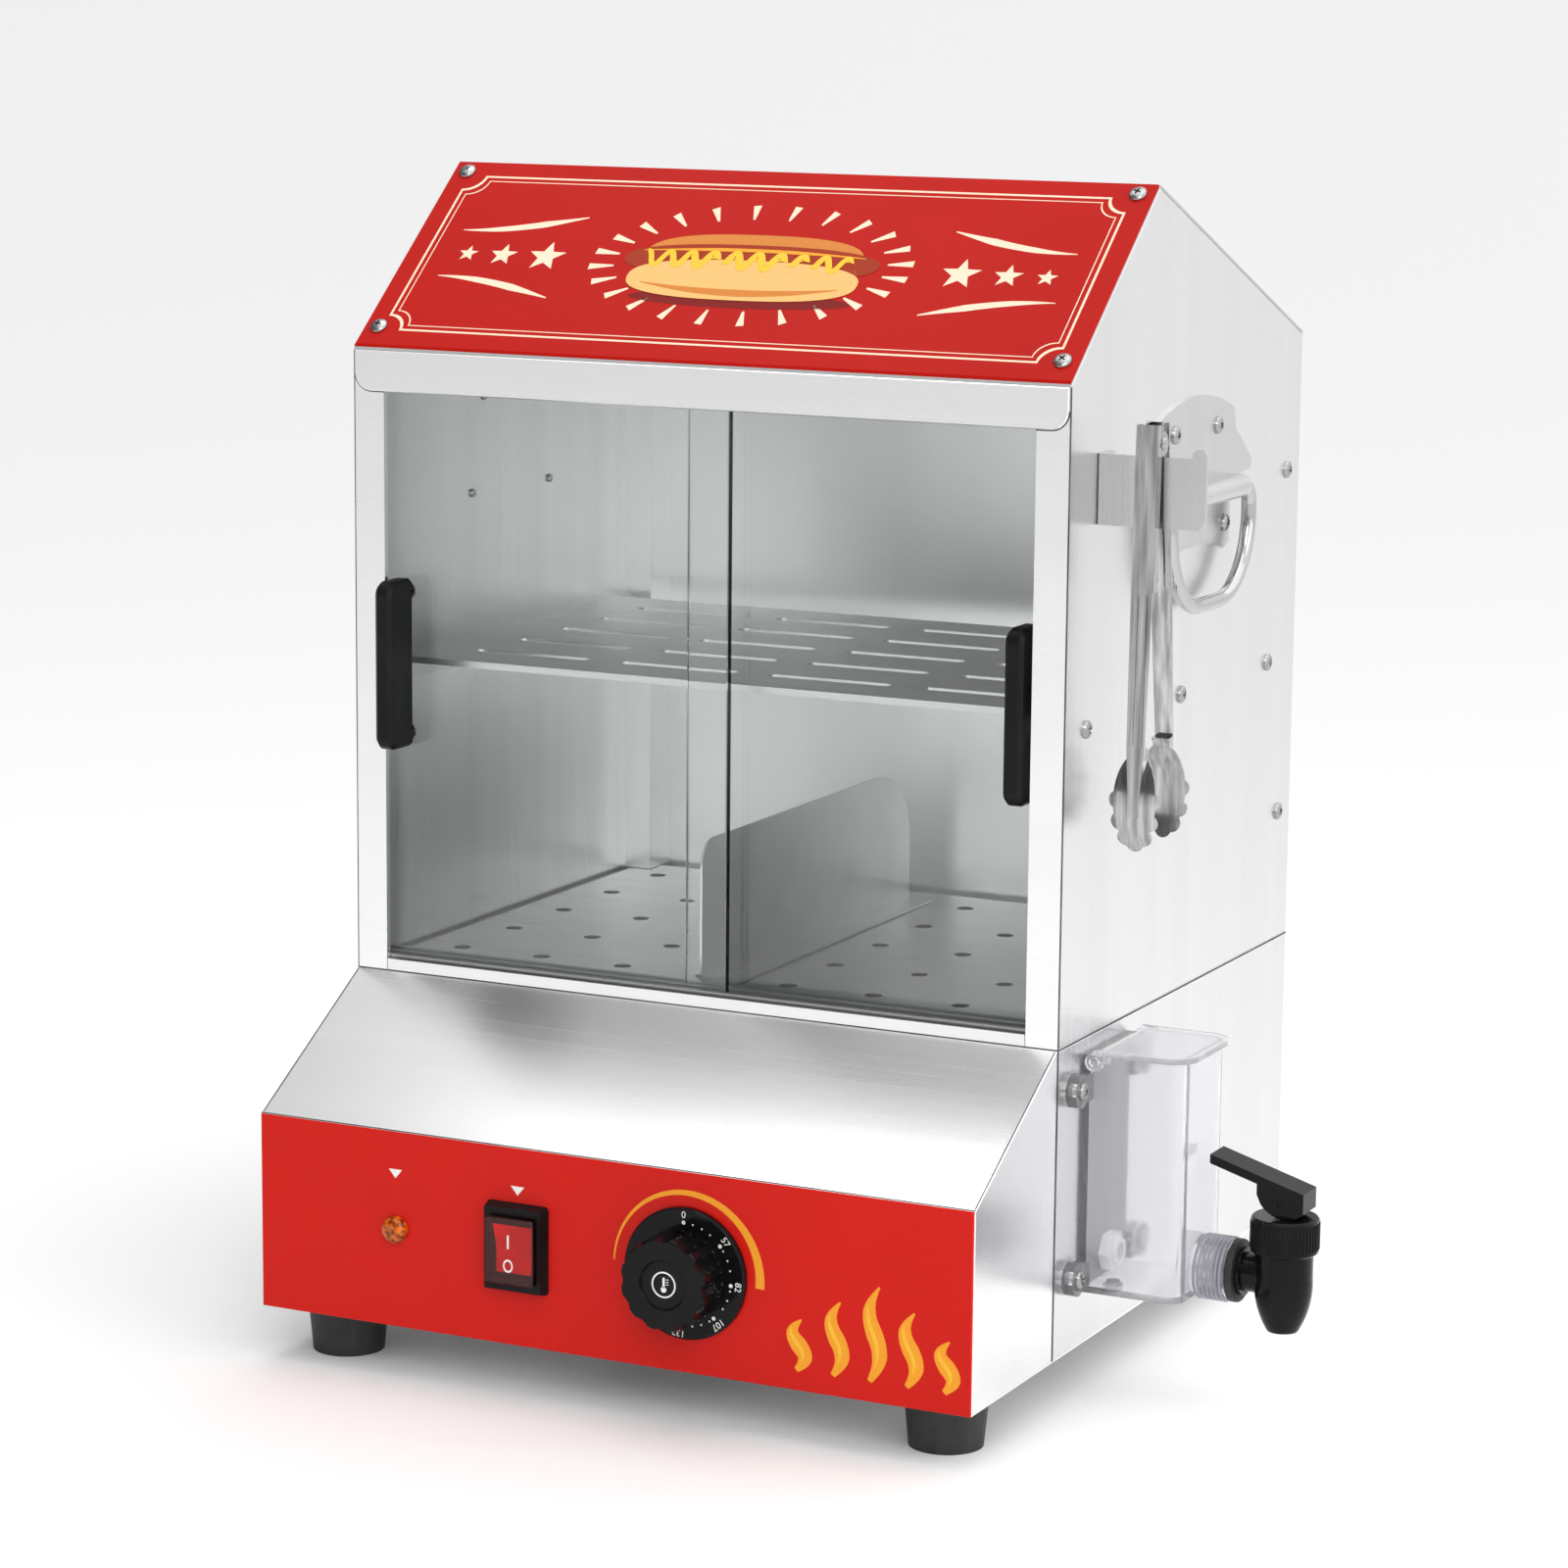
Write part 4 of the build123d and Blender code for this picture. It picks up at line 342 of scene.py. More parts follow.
dress(plated, "left_carry_ring", "right_carry_ring")
dress(polished, "tongs_front_arm", "tongs_rear_arm", "tongs_rivet")
dress(zinc, "bulkhead_nuts", "knob_shaft")
dress(heated, "heating_element")
dress(copper, "thermostat_sensor")
print("ripple:", RIPPLE_DEPTH / MM, "mm")

# %% [markdown]
# The sign and the fascia are stove-painted red. Paint has a hard, slightly waved gloss, called orange
# peel: a shallow bump a few millimetres across. A clear coat gives the fascia its sharp highlight, and
# the sign has none, because it lies flat under the lamps and would wash out. For the same reason the
# sign's red is a darker copy of the fascia's: painted shade.

# %% Red paint
RED = (0.63, 0.010, 0.005)
SHADE = 0.93
SIGN_PAINTED_SHADE = 0.70
PEEL_DEPTH = 0.00003


def dimmed(colour, share, lift=0.0):
    """A share of a colour, with a little light added."""
    return [share * part + lift for part in colour]


def paint(name, colour, gloss):
    """Stove paint with orange peel, under a clear coat where gloss is above zero."""
    values = {"Specular IOR Level": 0.08, "Coat Weight": gloss, "Coat Roughness": 0.12}
    made = finish(name, colour, {"Roughness": 0.42, **values})
    tint(made, noise(made, 14), colour, dimmed(colour, SHADE))
    bump(made, noise(made, 420, detail=1.0), PEEL_DEPTH)
    return made


dress(paint("red_fascia_paint", RED, 0.15), "fascia_panel")
# The sign's darker red is painted shade against the stronger light on its slope.
dress(paint("red_sign_paint_painted_shade", dimmed(RED, SIGN_PAINTED_SHADE), 0.0), "sign_panel")
print("orange peel:", PEEL_DEPTH / MM, "mm")

# %% [markdown]
# Screen-printing ink lies on the paint as a matt film. A squeegee never lays it down quite evenly, so
# each ink gets a faint mottle instead of one flat colour.

# %% Printing inks
def ink(name, colour):
    """Matt ink with the faint mottle of a squeegee."""
    made = finish(name, colour, {"Roughness": 0.6, "Specular IOR Level": 0.15})
    tint(made, noise(made, 700), colour, dimmed(colour, SHADE))
    return made


cream_ink = ink("cream_ink", (0.90, 0.70, 0.52))
white_ink = ink("white_ink", (0.88, 0.88, 0.86))
orange_ink = ink("orange_ink", (0.90, 0.36, 0.030))
mustard_ink = ink("mustard_ink", (0.93, 0.52, 0.045))
crust_ink = ink("crust_ink", (0.62, 0.22, 0.045))
bread_ink = ink("bread_ink", (0.86, 0.48, 0.17))
sausage_ink = ink("sausage_ink", (0.33, 0.035, 0.012))
shade_ink = ink("shade_ink", (0.20, 0.010, 0.008))
print("finishes so far:", len(bpy.data.materials))

# %% [markdown]
# Moulded plastic and rubber are never one flat colour. A fine spark-eroded texture breaks the highlight
# on the matt pieces, the glossy ones keep only a trace of it, and rubber feet collect a little dust near
# the ground.

# %% Plastics and rubber
ERODED = 1500.0  # cycles a metre
GLOSSY = 900.0  # cycles a metre


def moulded(name, colour, smooth, dull, texture=ERODED, depth=0.00002):
    """Moulded plastic with a fine texture, between two roughnesses."""
    made = finish(name, colour, {"Specular IOR Level": 0.14})
    fine = noise(made, texture)
    tint(made, noise(made, 40), colour, dimmed(colour, 1.5, 0.002))
    feed(made, "Roughness", spread(made, fine, smooth, dull))
    bump(made, fine, depth)
    return made


black_plastic = moulded("black_plastic", (0.005, 0.005, 0.0055), 0.28, 0.42)
gloss_black = moulded("gloss_black_plastic", (0.004, 0.004, 0.0045), 0.10, 0.16, GLOSSY, 0.000002)
pale_plastic = moulded("pale_plastic", (0.72, 0.72, 0.70), 0.30, 0.45)
red_gloss = moulded("red_gloss_plastic", (0.80, 0.06, 0.05), 0.12, 0.2, GLOSSY, 0.000006)

rubber = finish("black_rubber", (0.014, 0.014, 0.014), {"Roughness": 0.6})
dust = noise(rubber, 120, 120, 60, detail=3.0)
tint(rubber, dust, (0.012, 0.012, 0.012), (0.035, 0.034, 0.032), from_low=0.4, from_high=0.9)
bump(rubber, noise(rubber, 1200), 0.00004)

dress(black_plastic, "indicator_body", "switch_housing", "thermostat_body", "cable_gland")
dress(black_plastic, "left_door_handle", "right_door_handle")
dress(gloss_black, "dial_plate", "knob", "tap_body", "tap_collar", "tap_lever", "tap_stem")
dress(pale_plastic, "inlet_fitting")
dress(red_gloss, "rocker")
dress(rubber, "rubber_feet", "joint_gasket", "tap_gasket", "drain_plug")
print("plastic texture:", ERODED, "cycles a metre")

# %% [markdown]
# Clear pieces need two things: a true refracting body for the camera, and lamps that still reach what
# is inside. Shadow rays go straight through, so the cabinet is lit through its doors. The water box is
# milky, so some of its light scatters. The amber lens is deep-coloured and hides its lamp, so it is a
# plain glossy plastic, with a cloud of bright and dark amber painted on it as the glints and depth of a
# clear one: painted light.

# %% Clear glass, clear plastic and amber
def clear(name, colour, roughness, ior, lamp_colour, ripple=0.0, per_metre=60.0, clarity=1.0):
    """A see-through finish that lets lamps through in lamp_colour; clarity below 1 makes it milky."""
    made = finish(name, colour, {"Roughness": roughness, "Transmission Weight": clarity, "IOR": ior})
    tree = made.node_tree
    body = tree.nodes["Principled BSDF"].outputs[0]
    open_way = node(tree, "ShaderNodeBsdfTransparent", {"Color": (*lamp_colour, 1)}).outputs[0]
    in_shadow = node(tree, "ShaderNodeLightPath").outputs["Is Shadow Ray"]
    choice = node(tree, "ShaderNodeMixShader", {0: in_shadow, 1: body, 2: open_way})
    tree.links.new(choice.outputs[0], tree.nodes["Material Output"].inputs["Surface"])
    if ripple:
        bump(made, noise(made, per_metre), ripple)
    return made


MILKY = (0.90, 0.90, 0.92)
door_glass = clear("door_glass", (0.97, 0.99, 0.985), 0.0, 1.45, (0.93, 0.96, 0.95))
clear_plastic = clear("milky_moulded_plastic", MILKY, 0.11, 1.44, MILKY, 0.00004, clarity=0.88)
thread_plastic = clear("clear_thread", (0.36, 0.36, 0.42), 0.05, 1.49, (0.80, 0.80, 0.86), clarity=0.3)
red_silicone = clear("red_silicone", (0.80, 0.07, 0.06), 0.05, 1.41, (0.80, 0.16, 0.14), 0.00001, 300.0)

amber_gloss = {"Roughness": 0.10, "Specular IOR Level": 0.3, "Coat Weight": 0.15}
amber_with_painted_glints = finish("amber_with_painted_glints", (0.62, 0.13, 0.006), amber_gloss)
# The bright and dark amber of this cloud are painted glints and depth, in place of light through a clear
# lens.
tint(amber_with_painted_glints, noise(amber_with_painted_glints, 480, detail=1.0), (0.78, 0.17, 0.008), (0.14, 0.012, 0.001))

dress(door_glass, "left_door_glass", "right_door_glass")
dress(clear_plastic, "water_box", "water_box_lid")
dress(red_silicone, "switch_boot")
dress(amber_with_painted_glints, "indicator_lens")
print("finishes:", len(bpy.data.materials))

# %% [markdown]
# New pieces are put in place inside their meshes, and each then rides on the body that carries it. Each
# mesh is closed, with its faces outwards, so these helpers seal it and read off the result of its
# modifiers in one place for all pieces.

# %% Helpers for new pieces
def settle(piece, made, body):
    """Finishes a new piece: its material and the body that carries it."""
    piece.data.materials.clear()
    piece.data.materials.append(made)
    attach(piece, body)
    return piece


def sealed_mesh(shape, name, weld=0.0):
    """The mesh of a bmesh, with points nearer than weld merged and its faces turned outwards."""
    if weld:
        bmesh.ops.remove_doubles(shape, verts=shape.verts, dist=weld)
    bmesh.ops.recalc_face_normals(shape, faces=shape.faces)
    mesh = bpy.data.meshes.new(name)
    shape.to_mesh(mesh)
    shape.free()
    return mesh


def evaluated_mesh(holder):
    """The plain mesh that an object's curve, text or modifiers make; the object is removed."""
    bpy.context.view_layer.update()
    evaluated = holder.evaluated_get(bpy.context.evaluated_depsgraph_get())
    mesh = bpy.data.meshes.new_from_object(evaluated)
    bpy.data.objects.remove(holder)
    return mesh


# %% [markdown]
# Marks and round pieces sit on the faces of the frame. A placing matrix says where: its Z stands out of
# the face and its X and Y lie on it. It could be typed as numbers, but a line that is shot at the frame
# finds the face itself, and stays right when the frame changes.

# %% Helpers for places
def facing(origin, right, up):
    """A placing matrix with its X along right, its Y along up and its Z out of the surface."""
    right, up = Vector(right).normalized(), Vector(up).normalized()
    out = right.cross(up)
    turned = Matrix((right, up, out)).transposed().to_4x4()
    return Matrix.Translation(origin) @ turned


def meets(name, start, way):
    """The point and normal where a line from start along way first meets a CAD node."""
    shape = bmesh.new()
    shape.from_mesh(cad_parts[name].data)
    point, normal, _, _ = BVHTree.FromBMesh(shape).ray_cast(Vector(start), Vector(way))
    shape.free()
    return point, normal


# %% [markdown]
# The sheet metal is held by cross-slotted pan heads. One head is turned from its profile, as on a lathe,
# and a Boolean cuts its cross. It is drawn once at a head radius of 1, so that it can be scaled to any
# screw of the machine.

# %% One pan head
SHANK_RADIUS = 0.46
SHANK_DEPTH = 0.9
HEAD_EDGE = 0.16
HEAD_CROWN = 0.39
HEAD_HEIGHT = HEAD_EDGE + HEAD_CROWN
HEAD_SIDES = 28
CROSS_BAR = (1.15, 0.24, 0.8)
CROSS_TAPER = 0.55


def turned_head():
    """The head's mesh before its cross is cut: its seat at the origin and its head along +Z."""
    dome = [math.pi / 2 * step / 5 for step in range(1, 5)]
    profile = [(0, -SHANK_DEPTH), (SHANK_RADIUS, -SHANK_DEPTH), (SHANK_RADIUS, 0), (1, 0), (1, HEAD_EDGE)]
    profile += [(math.cos(turn), HEAD_EDGE + HEAD_CROWN * math.sin(turn)) for turn in dome]
    profile += [(0, HEAD_HEIGHT)]
    shape = bmesh.new()
    line = [shape.verts.new((x, 0, z)) for x, z in profile]
    edges = [shape.edges.new(pair) for pair in zip(line, line[1:])]
    bmesh.ops.spin(
        shape, geom=line + edges, cent=(0, 0, 0), axis=(0, 0, 1), steps=HEAD_SIDES, angle=2 * math.pi
    )
    return sealed_mesh(shape, "pan_head", weld=1e-5)


def cross_cutter():
    """Two crossed bars, narrower at their foot, that reach down into the crown."""
    cutter = bmesh.new()
    for turn in (0, math.pi / 2):
        bar = bmesh.ops.create_cube(cutter, size=1)["verts"]
        bmesh.ops.scale(cutter, verts=bar, vec=CROSS_BAR)
        bmesh.ops.translate(cutter, verts=bar, vec=(0, 0, HEAD_HEIGHT))
        for corner in bar:
            if corner.co.z < HEAD_HEIGHT:
                corner.co.x *= CROSS_TAPER
        bmesh.ops.rotate(cutter, verts=bar, matrix=Matrix.Rotation(turn, 3, "Z"))
    mesh = bpy.data.meshes.new("cross_cutter")
    cutter.to_mesh(mesh)
    cutter.free()
    return mesh


head = piece_from(turned_head(), "pan_head")
tool = piece_from(cross_cutter(), "cross_cutter")
cut = head.modifiers.new("cross", "BOOLEAN")
cut.object = tool
cut.operation = "DIFFERENCE"
cut.use_self = True
head_holder = piece_from(evaluated_mesh(head), "slotted_head")
bpy.data.objects.remove(tool)
print("one screw:", len(head_holder.data.polygons), "faces")

# %% [markdown]
# Screws, a thread and a knurl are one small shape made many times, which is what Geometry Nodes are for.
# Each tree has named inputs for its sizes, and ends by making its copies real and giving them their
# finish. These helpers hold the start, the end and the use that the trees share.

# %% Helpers for trees that make pieces
def new_tree(name, *wanted):
    """A tree with inputs of these names and kinds, and the sockets that give them inside it."""
    tree = bpy.data.node_groups.new(name, "GeometryNodeTree")
    for label, kind in wanted:
        tree.interface.new_socket(label, in_out="INPUT", socket_type="NodeSocket" + kind)
    tree.interface.new_socket("Geometry", in_out="OUTPUT", socket_type="NodeSocketGeometry")
    return tree, node(tree, "NodeGroupInput").outputs


def finished_tree(tree, given, geometry):
    """Ends a tree: its copies are made real and get the given finish."""
    real = node(tree, "GeometryNodeRealizeInstances", {"Geometry": geometry}).outputs["Geometry"]
    coat = node(tree, "GeometryNodeSetMaterial", {"Geometry": real, "Material": given["Finish"]})
    node(tree, "NodeGroupOutput", {"Geometry": coat.outputs["Geometry"]})
    return tree


def grown(name, tree, mesh, **values):
    """The piece that a tree makes of a mesh, which may be empty, with values for the tree's inputs."""
    holder = piece_from(mesh, name + "_holder")
    maker = holder.modifiers.new(tree.name, "NODES")
    maker.node_group = tree
    for label, value in values.items():
        maker[tree.interface.items_tree[label].identifier] = value
    result = evaluated_mesh(holder)
    result.name = name
    return piece_from(result, name)


# %% [markdown]
# Nobody lines up the slots of screws, so each copy of the head gets a random twist, from a fixed seed so
# that it is the same each time. The points carry where the head faces and how large it is.

# %% A tree that places copies of one piece on points
TWIST_SEED = 7


def placing_tree(name, copied):
    """Copies of an object on points, turned to the point's facing and scaled by its size."""
    tree, given = new_tree(name, ("Geometry", "Geometry"), ("Finish", "Material"), ("Twist", "Float"))
    source = node(tree, "GeometryNodeObjectInfo", {"Object": copied})
    way = node(tree, "GeometryNodeInputNamedAttribute", {"Name": "facing"}, data_type="FLOAT_VECTOR")
    size = node(tree, "GeometryNodeInputNamedAttribute", {"Name": "size"}, data_type="FLOAT")
    turn = node(tree, "FunctionNodeAlignRotationToVector", {"Vector": way.outputs["Attribute"]}, axis="Z")
    places = node(tree, "GeometryNodeInstanceOnPoints", {
        "Points": given["Geometry"], "Instance": source.outputs["Geometry"],
        "Rotation": turn.outputs["Rotation"], "Scale": size.outputs["Attribute"],
    })
    chance = {"Max": given["Twist"], "Seed": TWIST_SEED}
    degrees = node(tree, "FunctionNodeRandomValue", chance, data_type="FLOAT").outputs["Value"]
    radians = node(tree, "ShaderNodeMath", {0: degrees}, operation="RADIANS").outputs["Value"]
    twist = node(tree, "ShaderNodeCombineXYZ", {"Z": radians}).outputs["Vector"]
    turned = {"Instances": places.outputs["Instances"], "Rotation": twist}
    spin = node(tree, "GeometryNodeRotateInstances", turned)
    return finished_tree(tree, given, spin.outputs["Instances"])


def copies(name, places, tree, made, twist=360.0):
    """One mesh of copies: places is a list of point, facing and size in metres."""
    points = bpy.data.meshes.new(name + "_points")
    points.from_pydata([place for place, _, _ in places], [], [])
    points.attributes.new("facing", "FLOAT_VECTOR", "POINT")
    points.attributes.new("size", "FLOAT", "POINT")
    for index, (_, way, scale) in enumerate(places):
        points.attributes["facing"].data[index].vector = way
        points.attributes["size"].data[index].value = scale
    return grown(name, tree, points, Finish=made, Twist=twist)


# %% [markdown]
# The frame already has a plain screw at each place. The lesson takes each of those apart into separate
# solids, reads where its head sits and which way it faces, and puts the better head there. The places
# are sorted, so that each screw gets the same twist in every run.

# %% Screw places, read from the frame
WELD = 1e-6
CROWN_BAND = 0.02 * MM


def solids_of(name):
    """The points of each separate solid of a CAD node, on a merged copy of its mesh."""
    merged = bmesh.new()
    merged.from_mesh(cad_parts[name].data)
    bmesh.ops.remove_doubles(merged, verts=merged.verts, dist=WELD)
    seen = set()
    groups = []
    for start in merged.verts:
        if start in seen:
            continue
        seen.add(start)
        front, group = [start], []
        while front:
            corner = front.pop()
            group.append(corner.co.copy())
            for edge in corner.link_edges:
                other = edge.other_vert(corner)
                if other not in seen:
                    seen.add(other)
                    front.append(other)
        groups.append(group)
    merged.free()
    return groups


def screw_places(name, way_of, head_radius):
    """Seat, facing and head radius of each screw in a node, from left to right."""
    found = []
    for points in solids_of(name):
        middle = sum(points, Vector()) / len(points)
        way = Vector(way_of(middle)).normalized()
        top = max(point.dot(way) for point in points)
        crown = [point for point in points if point.dot(way) > top - CROWN_BAND]
        seat = sum(crown, Vector()) / len(crown) - way * HEAD_HEIGHT * head_radius
        found.append((seat, way, head_radius))
    return sorted(found, key=lambda screw: [round(part / MM, 1) for part in screw[0]])


# %% [markdown]
# A screw faces out of the sheet that it holds. For most that is one of the two sides, and for those of
# the sign it is the slope of the sign, which a line shot straight down at it finds.

# %% Screws in their places
PAN_RADIUS = 4.0 * MM
FOOT_RADIUS = 5.0 * MM
SIDE_BAND = 4 * MM

sign_low, sign_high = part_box("sign_panel")
above_sign = (0, (sign_low.y + sign_high.y) / 2, 1)
sign_point, slope_out = meets("sign_panel", above_sign, (0, 0, -1))
slope_up = slope_out.cross(Vector((1, 0, 0)))
side_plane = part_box("right_side_panel")[1].x


def panel_way(middle):
    """Outwards from the sign, or outwards from the side panel that the screw is nearer to."""
    if abs(middle.x) < side_plane - SIDE_BAND:
        return slope_out
    return (math.copysign(1, middle.x), 0, 0)


screw_tree = placing_tree("place_screws", head_holder)
cabinet_screws = screw_places("panel_screws", panel_way, PAN_RADIUS)
cabinet_screws += screw_places("foot_screws", lambda middle: (0, 0, -1), FOOT_RADIUS)
screws = copies("cabinet_screws", cabinet_screws, screw_tree, zinc)
settle(screws, zinc, "cabinet")
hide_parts("panel_screws", "foot_screws")
for side in ("left", "right"):
    heads = screw_places(side + "_door_screws", lambda middle: (0, 1, 0), PAN_RADIUS)
    door_screws = copies(side + "_grip_screws", heads, screw_tree, zinc)
    settle(door_screws, zinc, side + "_door")
    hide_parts(side + "_door_screws")
bpy.data.objects.remove(head_holder)
print("screws placed:", len(cabinet_screws) + 2 * len(heads))

# %% [markdown]
# The thread on the spout and the spring of the tongs are both a wire wound into a helix. A curve swept
# with a circle gives the wire with its ends closed, and one tree with named sizes serves both.

# %% A tree that winds a wire
def winding_tree():
    """A helix along Z, as a closed tube."""
    tree, given = new_tree(
        "wind_wire", ("Turns", "Float"), ("Radius", "Float"), ("Length", "Float"), ("Wire", "Float"),
        ("Steps", "Int"), ("Sides", "Int"), ("Finish", "Material"),
    )
    helix = node(tree, "GeometryNodeCurveSpiral", {
        "Resolution": given["Steps"], "Rotations": given["Turns"], "Start Radius": given["Radius"],
        "End Radius": given["Radius"], "Height": given["Length"],
    })
    circle = {"Resolution": given["Sides"], "Radius": given["Wire"]}
    section = node(tree, "GeometryNodeCurvePrimitiveCircle", circle).outputs["Curve"]
    swept = {"Curve": helix.outputs["Curve"], "Profile Curve": section, "Fill Caps": True}
    tube = node(tree, "GeometryNodeCurveToMesh", swept)
    return finished_tree(tree, given, tube.outputs["Mesh"])


wire_tree = winding_tree()


def wound(name, place, made, turns, radius, length, wire, steps, sides):
    """A helix of wire along place's Z from its origin, sizes in mm."""
    piece = grown(
        name, wire_tree, bpy.data.meshes.new(name), Turns=float(turns), Radius=radius * MM,
        Length=length * MM, Wire=wire * MM, Steps=steps, Sides=sides, Finish=made,
    )
    piece.data.transform(place)
    piece.data.shade_smooth()
    return piece


# %% [markdown]
# The tap screws onto a threaded spout that is moulded on the water box. The frame has the plain spout,
# and the thread is a clear helix half sunk in it, from just off the box to just short of the washer.

# %% Thread on the spout of the water box
SPOUT_LENGTH = 15.5
SPOUT_RADIUS = 13.8
THREAD_TURNS = 7
THREAD_WIRE = 0.7
THREAD_MARGIN = 0.9

gasket_low, gasket_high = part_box("tap_gasket")
spout_middle = (gasket_low + gasket_high) / 2
thread_start = gasket_low.x - (SPOUT_LENGTH - THREAD_MARGIN) * MM
along_x = facing((thread_start, spout_middle.y, spout_middle.z), (0, 1, 0), (0, 0, 1))
thread_length = SPOUT_LENGTH - 2 * THREAD_MARGIN
thread = wound(
    "spout_thread", along_x, thread_plastic, THREAD_TURNS, SPOUT_RADIUS, thread_length, THREAD_WIRE,
    steps=40, sides=6,
)
settle(thread, thread_plastic, "cabinet")
print("thread:", round(thread_length, 1), "mm long,", len(thread.data.polygons), "faces")

# %% [markdown]
# The collar of the tap has upright ribs that fingers can grip. One rib is drawn, and a tree stands copies
# of it on a circle, each turned outwards about the axis. Sinking them half into the drum hides their
# backs.

# %% Knurl on the tap's collar
RIBS = 50
RIB_WIDTH = 0.8
RIB_PROUD = 0.45
RIB_LOW = 2.2
RIB_HIGH = 13.8


def circle_tree(copied):
    """Copies of an object on a circle round Z, each with its X pointing outwards."""
    tree, given = new_tree("stand_on_circle", ("Count", "Int"), ("Radius", "Float"), ("Finish", "Material"))
    circle = node(tree, "GeometryNodeMeshCircle", {"Vertices": given["Count"], "Radius": given["Radius"]})
    source = node(tree, "GeometryNodeObjectInfo", {"Object": copied}).outputs["Geometry"]
    where = node(tree, "GeometryNodeInputPosition").outputs["Position"]
    turn = node(tree, "FunctionNodeAlignRotationToVector", {"Vector": where}, axis="X", pivot_axis="Z")
    places = node(tree, "GeometryNodeInstanceOnPoints", {
        "Points": circle.outputs["Mesh"], "Instance": source, "Rotation": turn.outputs["Rotation"],
    })
    return finished_tree(tree, given, places.outputs["Instances"])


def standing_rib(width, proud, low, high):
    """One rounded rib along Z, from low to high, half sunk in its drum; sizes in mm."""
    profile = [(-proud, -width / 2), (0.5 * proud, -width / 2), (proud, -width / 5)]
    profile += [(x, -y) for x, y in reversed(profile)]
    shape = bmesh.new()
    lower = [shape.verts.new((x * MM, y * MM, low * MM)) for x, y in profile]
    upper = [shape.verts.new((x * MM, y * MM, high * MM)) for x, y in profile]
    shape.faces.new(lower)
    shape.faces.new(upper)
    for index, corner in enumerate(lower):
        after = (index + 1) % len(lower)
        shape.faces.new((corner, lower[after], upper[after], upper[index]))
    return piece_from(sealed_mesh(shape, "standing_rib"), "standing_rib")


collar_low, collar_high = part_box("tap_collar")
collar_radius = (collar_high.x - collar_low.x) / 2
collar_middle = (collar_low + collar_high) / 2
rib = standing_rib(RIB_WIDTH, RIB_PROUD, RIB_LOW, RIB_HIGH)
bare = bpy.data.meshes.new("collar_knurl")
knurl = grown("collar_knurl", circle_tree(rib), bare, Count=RIBS, Radius=collar_radius, Finish=gloss_black)
knurl.data.transform(Matrix.Translation((collar_middle.x, collar_middle.y, collar_low.z)))
bpy.data.objects.remove(rib)
settle(knurl, gloss_black, "cabinet")
print("knurl:", RIBS, "ribs,", len(knurl.data.polygons), "faces")

# %% [markdown]
# The spring between the arms of the tongs is wire too. Its coil takes its length and its radius from the
# box of the plain one in the frame, which it replaces.

# %% Torsion spring of the tongs
WIRE = 0.55
COIL_TURNS = 4

spring_low, spring_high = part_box("tongs_spring")
spring_middle = (spring_low + spring_high) / 2
coil_radius = (spring_high.z - spring_low.z) / 2 / MM - WIRE
coil_length = (spring_high.x - spring_low.x) / MM - 2 * WIRE
coil_start = facing((spring_low.x + WIRE * MM, spring_middle.y, spring_middle.z), (0, 1, 0), (0, 0, 1))
coil = wound("spring_coil", coil_start, polished, COIL_TURNS, coil_radius, coil_length, WIRE, 28, 8)
settle(coil, polished, "tongs_hinge")
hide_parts("tongs_spring")
print("coil:", COIL_TURNS, "turns of radius", round(coil_radius, 2), "mm")

# %% [markdown]
# The pilot lamp has a jewelled lens: a low dome of flat facets that scatters the light of the lamp
# behind it. A smooth dome could not show this, so rings of points are joined by flat triangles, with
# every other ring turned by half a facet.

# %% Jewelled lens of the lamp
LENS_SEAT = 1.2
LENS_ROWS = 4
LENS_COLUMNS = 14


def ring_points(radius, count, centre=(0, 0), start=0.0, end=360.0, closed=True):
    """Points on a circle, or on an arc that includes both its ends."""
    steps = count if closed else count - 1
    turns = [math.radians(start + (end - start) * step / steps) for step in range(count)]
    return [(centre[0] + radius * math.cos(turn), centre[1] + radius * math.sin(turn)) for turn in turns]


def faceted_dome(name, rim_radius, seat, height, rows, columns):
    """A closed dome on the plane z = 0: upright as far as seat, then facets that rise to height."""
    shape = bmesh.new()
    rings = []
    for row in range(rows):
        lift = row / rows * math.pi / 2
        radius = rim_radius * math.cos(lift) ** 0.75
        shift = 180 / columns if row % 2 else 0
        level = seat + (height - seat) * math.sin(lift)
        circle = ring_points(radius, columns, start=shift, end=360 + shift)
        rings.append([shape.verts.new((x * MM, y * MM, level * MM)) for x, y in circle])
    crown = shape.verts.new((0, 0, height * MM))
    base = [shape.verts.new((x * MM, y * MM, 0)) for x, y in ring_points(rim_radius, columns)]
    shape.faces.new(base)
    for index in range(columns):
        after = (index + 1) % columns
        shape.faces.new((base[index], base[after], rings[0][after], rings[0][index]))
        shape.faces.new((rings[-1][index], rings[-1][after], crown))
    for row, (lower, upper) in enumerate(zip(rings, rings[1:])):
        for index in range(columns):
            after = (index + 1) % columns
            if row % 2:
                shape.faces.new((lower[index], upper[after], upper[index]))
                shape.faces.new((lower[index], lower[after], upper[after]))
            else:
                shape.faces.new((lower[index], lower[after], upper[index]))
                shape.faces.new((lower[after], upper[after], upper[index]))
    return sealed_mesh(shape, name)


